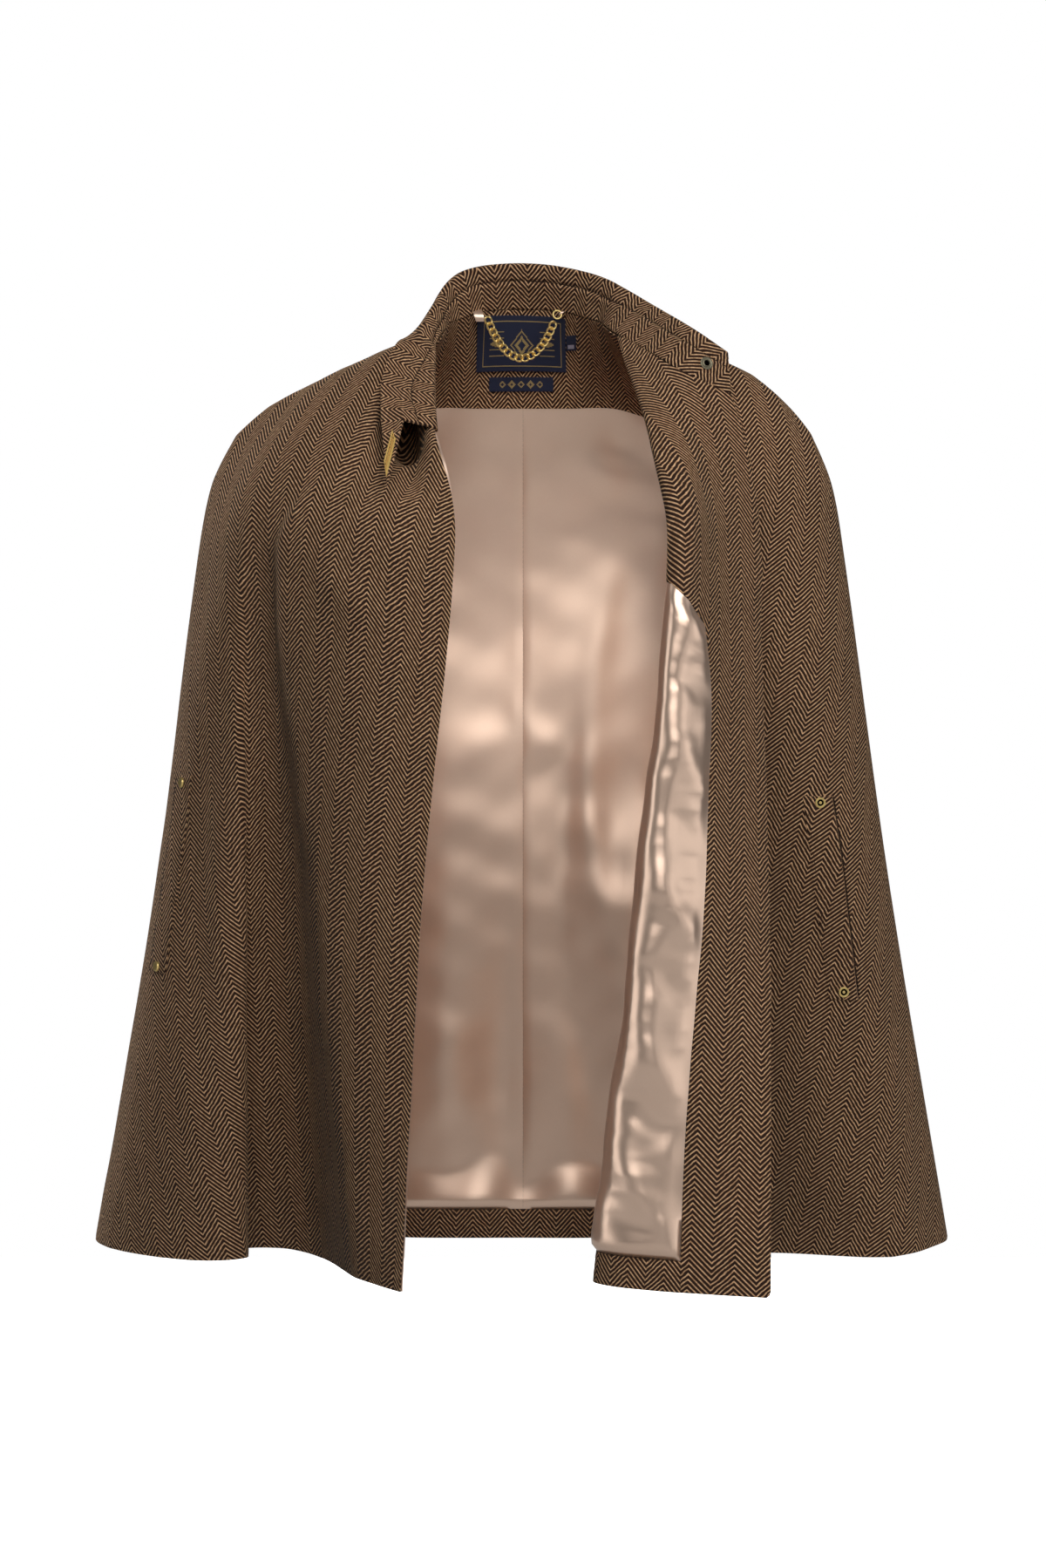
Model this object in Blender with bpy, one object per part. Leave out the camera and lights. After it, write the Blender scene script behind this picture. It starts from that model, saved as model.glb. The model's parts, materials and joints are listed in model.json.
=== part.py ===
"""Open-fronted tweed cape with arm slits, filled out as if worn.

The cloth hangs from the neck seam. The right front falls closed at the side,
the left front is turned back and shows its facing and its lining.
Lengths in the tables are millimetres, the model is in metres, up is +Z and
the front looks along -Y.
"""
import math
from collections import namedtuple

import bpy
from mathutils import Vector

MM = 0.001

# Cloth gauges.
TWEED = 2.0
FACING = 1.6
LINING = 1.0
COLLAR = 2.6
WELT = 1.8
LABEL = 0.8
SEAM_GAP = 0.3

# Cut of the fronts.
RIGHT_FACING_WIDTH = 45.0
WELT_WIDTH = 20.0
SLIT_WIDTH = 5.0

# Metal and small parts.
SNAP_RADIUS = 4.2
SNAP_HEIGHT = 1.6
SOCKET_RADIUS = 5.2
SOCKET_HOLE = 1.9
CHAIN_WIRE = 1.7
RING_RADIUS = 3.2
RING_WIRE = 0.9

# One row for each fold line of the cloth, from the front edge to the side.
# top lies on the neck or shoulder seam, upper over the shoulder blade or the
# upper chest, chest where the cloth starts to hang, hem at the lower edge.
# over is how level the cloth leaves the seam, from 0 to 1. waist is how far
# the line swings off straight, in x and y, on its way down.
Rib = namedtuple("Rib", "name over top upper chest waist hem")
WAIST = 0.48

# The neck seam of the right front runs on down the first fold line.
RIGHT_RIBS = tuple(map(Rib._make, (
    ("front_edge", 0.0, (-72, 0, -36), (-68, -85, -116), (-52, -127, -194), (-5, 0), (-94, -115, -782)),
    ("front_middle", 0.3, (-83, 0.7, -36), (-100, -89, -132), (-112, -134, -205), (-3, 0), (-114, -93, -779)),
    ("fold_crest", 0.7, (-94, 1.4, -37), (-134, -93, -137), (-184, -100, -203), (0, 0), (-131, -73, -776)),
    ("fold_valley", 1.0, (-106, 2.2, -41), (-150, -86, -134), (-191, -84, -202), (0, -4), (-161, 16, -772)),
    ("fold_floor", 1.0, (-118, 2.9, -46), (-164, -77, -131), (-203, -74, -201), (0, -6), (-190, 36, -767)),
    ("bulge_valley", 1.0, (-130, 3.7, -52), (-175, -70, -130), (-211, -69, -201), (-2, -8), (-229, 34, -767)),
    ("bulge_crest", 1.0, (-143, 4.5, -57), (-185, -63, -130), (-219, -65, -201), (-2, 0), (-222, -18, -768)),
    ("bulge_front", 1.0, (-165, 5.9, -68), (-206, -46, -132), (-235, -47, -200), (0, 0), (-263, -24, -769)),
    ("arm_slit", 1.0, (-202, 8.2, -87), (-232, -15, -139), (-251, -17, -201), (4, 0), (-332, 28, -766)),
    ("side_seam", 1.0, (-230, 10, -111), (-249, 14, -149), (-259, 18, -202), (6, 0), (-349, 88, -763)),
)))
LEFT_RIBS = tuple(map(Rib._make, (
    ("front_edge", 0.0, (164, -48, -83), (181, -58, -148), (184, -65, -212), (4, 6), (188, -165, -780)),
    ("facing_middle", 0.0, (124, -57, -65), (145, -98, -147), (151, -112, -210), (6, -4), (138, -166, -777)),
    ("roll_front", 0.0, (98, -31, -46), (122, -136, -152), (128, -157, -208), (0, -12), (80, -161, -773)),
    ("roll_apex", 0.0, (77, 0, -30), (106, -138, -151), (115, -159, -207), (3, -12), (56, -147, -771)),
    ("roll_back", 0.0, (94, 1.1, -34), (107, -118, -146), (114, -145, -205), (2, -10), (55, -128, -770)),
    ("roll_under", 0.35, (105, 1.8, -36), (131, -90, -138), (144, -96, -200), (-4, -4), (66, -92, -769)),
    ("hidden_valley", 0.7, (119, 2.7, -39), (156, -60, -129), (168, -56, -197), (0, 0), (118, -6, -768)),
    ("arm_front", 1.0, (144, 4.4, -46), (177, -46, -129), (186, -46, -198), (0, 0), (205, 22, -769)),
    ("arm_slit", 1.0, (181, 6.8, -61), (207, -28, -130), (214, -35, -199), (0, 0), (294, 13, -771)),
    ("arm_side", 1.0, (213, 8.8, -88), (236, -7, -139), (244, -11, -200), (-2, 0), (332, 44, -767)),
    ("side_seam", 1.0, (231, 10, -110), (247, 14, -149), (257, 18, -202), (-4, 0), (349, 88, -764)),
)))
BACK_RIBS = tuple(map(Rib._make, (
    ("right_side_seam", 1.0, (-230, 10, -111), (-249, 14, -149), (-259, 18, -202), (6, 0), (-349, 88, -763)),
    ("right_flute", 1.0, (-202, 8.2, -87), (-233, 46, -137), (-243, 62, -201), (6, 0), (-316, 158, -765)),
    ("right_blade", 1.0, (-138, 4.2, -55), (-186, 80, -119), (-203, 103, -200), (4, 0), (-225, 196, -769)),
    ("right_neck", 1.0, (-72, 0, -36), (-122, 98, -97), (-140, 124, -200), (0, 0), (-150, 168, -771)),
    ("right_yoke", 0.0, (-61, 38, -16), (-74, 104, -78), (-86, 133, -200), (0, 0), (-94, 150, -772)),
    ("right_nape", 0.0, (-34, 66, -3), (-38, 106, -78), (-43, 136, -200), (0, 0), (-47, 147, -772)),
    ("centre_back", 0.0, (0, 75, 0), (0, 107, -78), (0, 137, -200), (0, 0), (0, 147, -772)),
    ("left_nape", 0.0, (35, 66, -3), (38, 106, -78), (43, 136, -200), (0, 0), (47, 147, -772)),
    ("left_yoke", 0.0, (63, 38, -15), (74, 104, -78), (86, 133, -200), (0, 0), (92, 150, -772)),
    ("left_neck", 1.0, (77, 0, -30), (124, 98, -94), (140, 124, -200), (0, 0), (152, 171, -771)),
    ("left_blade", 1.0, (128, 3.3, -42), (186, 80, -115), (203, 103, -200), (-3, 0), (232, 192, -769)),
    ("left_flute", 1.0, (213, 8.8, -88), (232, 46, -135), (242, 62, -201), (-4, 0), (311, 150, -766)),
    ("left_side_seam", 1.0, (231, 10, -110), (247, 14, -149), (257, 18, -202), (-4, 0), (349, 88, -764)),
)))

# Level lines of a panel: (ring, share of the way to the next ring). The arm
# slits run from the first to the last of the slit rows, which lie a little
# lower on the left front than on the right.
UPPER_ROWS = ((0, 0.0), (0, 0.25), (0, 0.5), (0, 0.75), (1, 0.0), (1, 0.34), (1, 0.67),
              (2, 0.0), (2, 0.115), (2, 0.25), (2, 0.46))
LOWER_ROWS = ((3, 0.60), (3, 0.919), (3, 1.0))
SLIT_ROWS = {"right": ((2, 0.67), (3, 0.0), (3, 0.235)), "left": ((2, 0.73), (3, 0.0), (3, 0.30)),
             "back": ((2, 0.70), (3, 0.0), (3, 0.27))}
NECK_FACING_ROW = 4
BREAK_ROW = 8
SLIT_TOP_ROW = 11
SLIT_END_ROW = 13
HEM_ROW = 15

# Width of the left front facing down the panel: (ring plus share, width).
# Above the break row the facing runs on round the roll.
LEFT_FACING_WIDTH = ((0.0, 105.0), (1.0, 90.0), (2.0, 96.0), (2.115, 95.0), (2.25, 82.0), (2.46, 70.0),
                     (4.0, 69.0))

# Collar stations round the neck: where on the neck seam (piece of it and
# share), the fold at the top of the stand, and the free edge of the fall.
Station = namedtuple("Station", "seam share fold edge")
COLLAR_STATIONS = (
    Station("right", 0.0, (-93, -92, -107), (-104, -133, -163)),
    Station("right", 0.42, (-101, -59, -79), (-112, -61, -80)),
    Station("right", 0.80, (-86, -20, -38), (-101, -23, -40)),
    Station("back", 0.12, (-69, 22, -2), (-82, 36, -30)),
    Station("back", 0.30, (-48.5, 47, 25.7), (-62, 76, -20)),
    Station("back", 0.50, (0, 60, 33.6), (0, 94, -13)),
    Station("back", 0.70, (49.7, 47, 25.7), (69, 74, -22)),
    Station("back", 0.88, (79, 24, 11), (103, 47, -30)),
    Station("left", 0.02, (102, 8, -4), (127, 25, -35)),
    Station("left", 0.55, (136, -40, -31), (151, 6, -37)),
    Station("left", 1.0, (162, -40, -49), (168, -2, -46)),
)
COLLAR_STEPS = 3
COLLAR_SET = 2.4
FOLD_ROUND = 4.0

# Labels on the back neck facing, by the x and z of the middle.
Label = namedtuple("Label", "name x width z height")
LABELS = (
    Label("main_label", -1.5, 76.0, -28.0, 41.0),
    Label("small_label", -1.5, 54.0, -58.0, 11.5),
    Label("size_tab", 41.0, 8.5, -26.0, 11.5),
)
CHAIN_RIGHT = (-35.0, -6.0)
CHAIN_LEFT = (26.5, -7.0)
CHAIN_LOW = (-2.0, -42.0)


def clear_scene():
    """Take every object of the start-up file out of the scene."""
    for item in list(bpy.data.objects):
        bpy.data.objects.remove(item)


def material(name, colour, roughness, metallic=0.0):
    """Make a plain surface of one colour."""
    made = bpy.data.materials.new(name)
    made.use_nodes = True
    shader = made.node_tree.nodes["Principled BSDF"]
    shader.inputs["Base Color"].default_value = (*colour, 1.0)
    shader.inputs["Roughness"].default_value = roughness
    shader.inputs["Metallic"].default_value = metallic
    made.diffuse_color = (*colour, 1.0)
    return made


def slopes_of(points, before, after):
    """Slope at each point of a smooth line, per unit of chord."""
    chain = [before] + list(points) + [after]
    slopes = []
    for i in range(1, len(chain) - 1):
        run = (chain[i] - chain[i - 1]).length + (chain[i + 1] - chain[i]).length
        slopes.append((chain[i + 1] - chain[i - 1]) / run)
    return slopes


def on_line(points, slopes, k, f):
    """Point and direction at share f of piece k of a smooth line."""
    step = (points[k + 1] - points[k]).length
    a = points[k]
    b = points[k + 1]
    m = slopes[k] * step
    n = slopes[k + 1] * step
    g = f * f
    h = g * f
    place = a * (2 * h - 3 * g + 1) + m * (h - 2 * g + f) + b * (3 * g - 2 * h) + n * (h - g)
    heading = a * (6 * g - 6 * f) + m * (3 * g - 4 * f + 1) + b * (6 * f - 6 * g) + n * (3 * g - 2 * f)
    return place, heading


def rib_point(rib, ring, f):
    """Point of a fold line between two of its rings."""
    points = [Vector(rib.top), Vector(rib.upper), Vector(rib.chest), Vector(rib.hem)]
    waist = points[2].lerp(points[3], WAIST) + Vector((*rib.waist, 0))
    points.insert(3, waist)
    mirrored = Vector((rib.upper[0], 2 * rib.top[1] - rib.upper[1], rib.upper[2]))
    before = (points[0] * 2 - points[1]).lerp(mirrored, rib.over)
    after = points[4] * 2 - points[3]
    slopes = slopes_of(points, before, after)
    return on_line(points, slopes, ring, f)[0]


def level_line(ribs, first, last, ring, f, fine=10):
    """Dense level line across the fold lines: places, headings, run, rib runs.

    first and last are the fold lines of the next panels, or None at an edge.
    """
    points = [rib_point(rib, ring, f) for rib in ribs]
    before = rib_point(first, ring, f) if first else points[0] * 2 - points[1]
    after = rib_point(last, ring, f) if last else points[-1] * 2 - points[-2]
    slopes = [slope / max(slope.length, 0.45) for slope in slopes_of(points, before, after)]
    arrive = list(slopes)
    corner = [i for i, rib in enumerate(ribs) if rib.name == "roll_apex"]
    if corner and ring == 0:
        c = corner[0]
        sharp = max(1 - 4 * f, 0.0)
        arrive[c] = slopes[c].lerp((points[c] - points[c - 1]).normalized(), sharp)
        slopes[c] = slopes[c].lerp((points[c + 1] - points[c]).normalized(), sharp)
    places = []
    headings = []
    runs = []
    marks = []
    total = 0.0
    for k in range(len(points) - 1):
        for i in range(fine + (k == len(points) - 2)):
            place, heading = on_line(points, slopes[:k + 1] + arrive[k + 1:], k, i / fine)
            if places:
                total += (place - places[-1]).length
            if i == 0:
                marks.append(total)
            places.append(place)
            headings.append(heading)
            runs.append(total)
    marks.append(total)
    return places, headings, runs, marks


def pick(line, at):
    """Place and heading at a run along a dense level line."""
    places, headings, runs, marks = line
    i = 0
    while i < len(runs) - 2 and runs[i + 1] < at:
        i += 1
    share = (at - runs[i]) / max(runs[i + 1] - runs[i], 1e-9)
    share = min(max(share, 0.0), 1.0)
    return places[i].lerp(places[i + 1], share), headings[i].lerp(headings[i + 1], share)


def steps_between(anchors):
    """Column runs from anchors given as (run, columns up to it)."""
    runs = [anchors[0][0]]
    for (start, _), (end, count) in zip(anchors, anchors[1:]):
        for i in range(count):
            runs.append(start + (end - start) * (i + 1) / count)
    return runs


def facing_width(level):
    """Width of the left front facing at a level (ring plus share)."""
    for (a, wide), (b, narrow) in zip(LEFT_FACING_WIDTH, LEFT_FACING_WIDTH[1:]):
        if level <= b:
            return wide + (narrow - wide) * (level - a) / (b - a)
    return LEFT_FACING_WIDTH[-1][1]


# Columns of each panel: (fold line or cut line, columns from the one before).
RIGHT_COLUMNS = (("front_edge", 0), ("facing", 3), ("fold_crest", 4), ("fold_valley", 3), ("fold_floor", 2),
                 ("bulge_valley", 3), ("bulge_crest", 4), ("bulge_front", 3), ("welt", 3), ("arm_slit", 1),
                 ("slit_back", 1), ("side_seam", 3))
LEFT_COLUMNS = (("front_edge", 0), ("facing", 7), ("roll_front", 2), ("roll_apex", 3), ("roll_back", 3),
                ("roll_under", 4), ("hidden_valley", 4), ("arm_front", 3), ("welt", 3), ("arm_slit", 1),
                ("slit_back", 1), ("arm_side", 2), ("side_seam", 2))
BACK_COLUMNS = (("right_side_seam", 0), ("right_flute", 3), ("right_blade", 3), ("right_neck", 4),
                ("right_yoke", 2), ("right_nape", 1), ("centre_back", 2), ("left_nape", 2),
                ("left_yoke", 1), ("left_neck", 2), ("left_blade", 4), ("left_flute", 3),
                ("left_side_seam", 3))


def column_index(columns, name):
    """Number of the grid column that runs along a named line."""
    total = 0
    for line, count in columns:
        total += count
        if line == name:
            return total
    raise KeyError(name)


def anchor_runs(side, columns, ribs, line, level):
    """Runs of the named lines along one level line."""
    named = dict(zip([rib.name for rib in ribs], line[3]))
    if side != "back":
        wide = RIGHT_FACING_WIDTH if side == "right" else facing_width(level)
        if side == "right":
            named["facing"] = min(wide, 0.55 * named["fold_crest"])
        else:
            named["facing"] = min(wide, named["roll_front"] - 8.0)
        named["welt"] = named["arm_slit"] - WELT_WIDTH
        named["slit_back"] = named["arm_slit"] + SLIT_WIDTH
    return [(named[name], count) for name, count in columns]


Panel = namedtuple("Panel", "side ribs columns first last")


def panels():
    """The three cut panels with the fold lines of their neighbours."""
    right = Panel("right", RIGHT_RIBS, RIGHT_COLUMNS, None, BACK_RIBS[1])
    left = Panel("left", LEFT_RIBS, LEFT_COLUMNS, None, BACK_RIBS[-2])
    back = Panel("back", BACK_RIBS, BACK_COLUMNS, RIGHT_RIBS[-2], LEFT_RIBS[-2])
    return right, left, back


def rows_of(side):
    """All level lines of one panel from the top to the hem."""
    return UPPER_ROWS + SLIT_ROWS[side] + LOWER_ROWS


def level_columns(panel, ring, f):
    """Places and headings of every column of a panel on one level line."""
    line = level_line(panel.ribs, panel.first, panel.last, ring, f)
    runs = steps_between(anchor_runs(panel.side, panel.columns, panel.ribs, line, ring + f))
    return [pick(line, run) for run in runs]


def shoulder_seam(side):
    """Dense line of one shoulder seam and its runs at the neck and the tip."""
    right, left, _ = panels()
    panel = right if side == "right" else left
    line = level_line(panel.ribs, panel.first, panel.last, 0, 0.0)
    start = line[3][0] if side == "right" else line[3][3]
    return line, start, line[3][-1]


def lay_on_seam(row, faces, columns, side):
    """Put the part of a top row between neck and tip on the shoulder seam."""
    line, start, end = shoulder_seam(side)
    runs = [0.0]
    for a, b in zip(columns, columns[1:]):
        runs.append(runs[-1] + (row[b] - row[a]).length)
    for column, run in zip(columns, runs):
        at = start + (end - start) * run / runs[-1]
        row[column], ahead = pick(line, min(at, end - 0.5))
        row[column] = pick(line, at)[0]
        face = Vector((-ahead.z, 0, ahead.x))
        faces[column] = face.normalized() * (1 if face.z > 0 else -1)


def panel_grid(panel):
    """Grid of places and of outward directions for one panel."""
    places = []
    outward = []
    turn = -1.0 if panel.side == "left" else 1.0
    for ring, f in rows_of(panel.side):
        here = level_columns(panel, ring, f)
        reach = 0.02 if ring < 2 else 0.01
        above = level_columns(panel, ring, max(f - reach, 0.0))
        below = level_columns(panel, ring, min(f + reach, 1.0))
        places.append([item[0] for item in here])
        row = []
        for (_, across), (high, _), (low, _) in zip(here, above, below):
            down = low - high
            face = across.cross(down) * turn
            weak = face.length < 0.12 * across.length * down.length
            row.append(None if weak else face.normalized())
        outward.append(row)
    rows = len(places)
    for r in range(rows - 1, -1, -1):
        for c, face in enumerate(outward[r]):
            if face is None:
                outward[r][c] = outward[r + 1][c] if r + 1 < rows else outward[r - 1][c]
    last = len(places[0]) - 1
    if panel.side == "back":
        neck = column_index(panel.columns, "right_neck")
        lay_on_seam(places[0], outward[0], list(range(neck, -1, -1)), "right")
        neck = column_index(panel.columns, "left_neck")
        lay_on_seam(places[0], outward[0], list(range(neck, last + 1)), "left")
    else:
        neck = 0 if panel.side == "right" else column_index(panel.columns, "roll_apex")
        lay_on_seam(places[0], outward[0], list(range(neck, last + 1)), panel.side)
        if panel.side == "left":
            face = outward[0][neck] + outward[1][neck] * 6
            outward[0][neck] = Vector((face.x, 0, face.z)).normalized()
    return places, outward


def all_cells(rows, columns):
    """Every cell of a grid."""
    return {(r, c) for r in range(rows) for c in range(columns)}


def sheet(name, places, outward, cells, low, high, surface, inset=SEAM_GAP / 2):
    """Closed thin wall over the cells of a grid, from low to high above it."""
    touching = {}
    for r, c in cells:
        middle = (places[r][c] + places[r + 1][c] + places[r][c + 1] + places[r + 1][c + 1]) / 4
        for corner in ((r, c), (r + 1, c), (r, c + 1), (r + 1, c + 1)):
            touching.setdefault(corner, []).append(middle)
    order = {corner: i for i, corner in enumerate(sorted(touching))}
    base = []
    for corner in sorted(touching):
        r, c = corner
        spot = places[r][c]
        if len(touching[corner]) < 4:
            pull = sum(touching[corner], Vector()) / len(touching[corner]) - spot
            pull -= outward[r][c] * pull.dot(outward[r][c])
            spot = spot + pull.normalized() * inset
        base.append((spot, outward[r][c]))
    count = len(base)
    verts = [spot + face * high for spot, face in base] + [spot + face * low for spot, face in base]
    faces = []
    rims = {}
    for r, c in sorted(cells):
        a = order[(r, c)]
        b = order[(r, c + 1)]
        d = order[(r + 1, c)]
        e = order[(r + 1, c + 1)]
        for tri in ((a, d, b), (b, d, e)):
            faces.append(tri)
            faces.append(tuple(count + i for i in reversed(tri)))
        for edge in ((a, d), (d, e), (e, b), (b, a)):
            rims[edge] = rims.get(edge, 0) + 1
    for a, b in rims:
        if (b, a) not in rims:
            faces.append((b, a, count + a))
            faces.append((b, count + a, count + b))
    return body(name, verts, faces, surface)


def body(name, verts, faces, surface):
    """Object from points in millimetres and faces, facing outward."""
    volume = 0.0
    for face in faces:
        a = verts[face[0]]
        for i in range(1, len(face) - 1):
            volume += a.dot(verts[face[i]].cross(verts[face[i + 1]]))
    if volume < 0:
        faces = [tuple(reversed(face)) for face in faces]
    mesh = bpy.data.meshes.new(name)
    mesh.from_pydata([spot * MM for spot in verts], [], faces)
    mesh.materials.append(surface)
    for polygon in mesh.polygons:
        polygon.use_smooth = len(polygon.vertices) < 5
    mesh.update()
    made = bpy.data.objects.new(name, mesh)
    bpy.context.scene.collection.objects.link(made)
    return made


def smooth_row(points, steps):
    """Points along a smooth line, with steps pieces between each two."""
    slopes = slopes_of(points, points[0] * 2 - points[1], points[-1] * 2 - points[-2])
    row = []
    for k in range(len(points) - 1):
        for i in range(steps + (k == len(points) - 2)):
            row.append(on_line(points, slopes, k, i / steps)[0])
    return row


def neck_frames(grids):
    """Neck seam from the right front edge to the left: run, point, away, up.

    away points off the panel in its own plane, up is its outward direction.
    """
    spots = []
    right, left, back = panels()
    places, outward = grids["right"]
    for r in range(NECK_FACING_ROW, 0, -1):
        spots.append((places[r][0], places[r][1], outward[r][0]))
    ends = [len(spots)]
    places, outward = grids["back"]
    for c in range(column_index(back.columns, "right_neck"), column_index(back.columns, "left_neck") + 1):
        spots.append((places[0][c], places[1][c], outward[0][c]))
    ends.append(len(spots) - 1)
    places, outward = grids["left"]
    for c in range(column_index(left.columns, "roll_apex") - 1, -1, -1):
        spots.append((places[0][c], places[1][c], outward[0][c]))
    frames = []
    run = 0.0
    for i, (spot, inside, face) in enumerate(spots):
        ahead = spots[min(i + 1, len(spots) - 1)][0] - spots[max(i - 1, 0)][0]
        run += (spot - spots[i - 1][0]).length if i else 0.0
        away = spot - inside
        away -= away.project(ahead)
        away -= away.project(face)
        frames.append((run, spot, away.normalized(), face))
    marks = {"right": (0.0, frames[ends[0]][0]), "back": (frames[ends[0]][0], frames[ends[1]][0]),
             "left": (frames[ends[1]][0], frames[-1][0])}
    return frames, marks


def neck_frame(frames, at):
    """Point, away and up at a run along the neck seam."""
    i = 0
    while i < len(frames) - 2 and frames[i + 1][0] < at:
        i += 1
    a = frames[i]
    b = frames[i + 1]
    f = min(max((at - a[0]) / (b[0] - a[0]), 0.0), 1.0)
    return a[1].lerp(b[1], f), a[2].lerp(b[2], f).normalized(), a[3].lerp(b[3], f).normalized()


def collar_profile(seam, away, up, fold, edge):
    """Points of the collar from the neck seam over the fold to its edge."""
    rise = (fold - seam).normalized()
    fall = (edge - fold).normalized()
    lean = min(max(0.5 - rise.dot(away), 0.0), 1.0)
    start = seam + away * COLLAR_SET
    step = rise.lerp(up, lean).normalized()
    foot = start + step * 4.5
    out = fall - fall.project(rise)
    out.normalize()
    turn = (1 - rise.dot(fall)) / 2
    wide = FOLD_ROUND * turn
    stand_end = fold - rise * FOLD_ROUND * 1.2 - out * turn
    crown_in = fold - rise * 1.5 * (1 - turn) - out * 0.2 * turn
    crown_out = fold + fall * 1.5 * (1 - turn) + out * wide
    fall_start = fold + fall * FOLD_ROUND * 1.4 + out * wide
    stand = foot.lerp(stand_end, 0.5) - out * 0.6 * turn
    fall_middle = fall_start.lerp(edge, 0.5) + out * 1.2 * turn
    return [start, foot, stand, stand_end, crown_in, crown_out, fall_start, fall_middle, edge]


def collar_grid(grids):
    """Grid of collar places and outward directions, stations by profile."""
    frames, marks = neck_frames(grids)
    runs = [marks[s.seam][0] + (marks[s.seam][1] - marks[s.seam][0]) * s.share for s in COLLAR_STATIONS]
    folds = smooth_row([Vector(s.fold) for s in COLLAR_STATIONS], COLLAR_STEPS)
    edges = smooth_row([Vector(s.edge) for s in COLLAR_STATIONS], COLLAR_STEPS)
    places = []
    for i, (fold, edge) in enumerate(zip(folds, edges)):
        k = min(i // COLLAR_STEPS, len(runs) - 2)
        at = runs[k] + (runs[k + 1] - runs[k]) * (i - k * COLLAR_STEPS) / COLLAR_STEPS
        seam, away, up = neck_frame(frames, at)
        profile = collar_profile(seam, away, up, fold, edge)
        places.append(smooth_row(profile, 2))
    return places, grid_directions(places)


def grid_directions(places):
    """Outward direction at each point of a grid from its neighbours."""
    rows = len(places)
    columns = len(places[0])
    outward = []
    for r in range(rows):
        row = []
        for c in range(columns):
            down = places[min(r + 1, rows - 1)][c] - places[max(r - 1, 0)][c]
            across = places[r][min(c + 1, columns - 1)] - places[r][max(c - 1, 0)]
            row.append(across.cross(down).normalized())
        outward.append(row)
    return outward


def patch(places, outward, rows, columns):
    """Part of a grid cut at fractional rows and columns."""
    spots = []
    faces = []
    for r in rows:
        i = min(int(r), len(places) - 2)
        f = r - i
        line = []
        normals = []
        for c in columns:
            j = min(int(c), len(places[0]) - 2)
            g = c - j
            high = places[i][j].lerp(places[i][j + 1], g)
            low = places[i + 1][j].lerp(places[i + 1][j + 1], g)
            line.append(high.lerp(low, f))
            high = outward[i][j].lerp(outward[i][j + 1], g)
            low = outward[i + 1][j].lerp(outward[i + 1][j + 1], g)
            normals.append(high.lerp(low, f).normalized())
        spots.append(line)
        faces.append(normals)
    return spots, faces


def spread(start, end, count):
    """Evenly spaced values."""
    return [start + (end - start) * i / count for i in range(count + 1)]


def turned(name, profile, spot, axis, surface, holed=False, sides=16):
    """Solid of revolution of (radius, height) points about an axis at a spot."""
    axis = axis.normalized()
    side = axis.orthogonal().normalized()
    other = axis.cross(side)
    verts = []
    for radius, height in profile:
        for i in range(sides):
            a = 2 * math.pi * i / sides
            verts.append(spot + axis * height + (side * math.cos(a) + other * math.sin(a)) * radius)
    faces = []
    rings = len(profile)
    for k in range(rings if holed else rings - 1):
        for i in range(sides):
            j = (i + 1) % sides
            n = (k + 1) % rings
            faces.append((k * sides + i, k * sides + j, n * sides + j, n * sides + i))
    if not holed:
        faces.append(tuple(reversed(range(sides))))
        faces.append(tuple((rings - 1) * sides + i for i in range(sides)))
    return body(name, verts, faces, surface)


def tube(name, path, radius, surface, sides=8, closed=False):
    """Round wire along a path."""
    verts = []
    count = len(path)
    for i, spot in enumerate(path):
        ahead = path[(i + 1) % count] if closed or i + 1 < count else spot
        behind = path[i - 1] if closed or i else spot
        run = (ahead - behind).normalized()
        side = run.cross(Vector((0, 1, 0))).normalized()
        other = run.cross(side)
        for k in range(sides):
            a = 2 * math.pi * k / sides
            verts.append(spot + (side * math.cos(a) + other * math.sin(a)) * radius)
    faces = []
    for i in range(count if closed else count - 1):
        j = (i + 1) % count
        for k in range(sides):
            n = (k + 1) % sides
            faces.append((i * sides + k, i * sides + n, j * sides + n, j * sides + k))
    if not closed:
        faces.append(tuple(reversed(range(sides))))
        faces.append(tuple((count - 1) * sides + k for k in range(sides)))
    return body(name, verts, faces, surface)


def box(name, low, high, surface):
    """Small plain block between two corners."""
    verts = []
    for x in (low[0], high[0]):
        for y in (low[1], high[1]):
            for z in (low[2], high[2]):
                verts.append(Vector((x, y, z)))
    faces = [(0, 1, 3, 2), (4, 6, 7, 5), (0, 4, 5, 1), (2, 3, 7, 6), (0, 2, 6, 4), (1, 5, 7, 3)]
    return body(name, verts, faces, surface)


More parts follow.
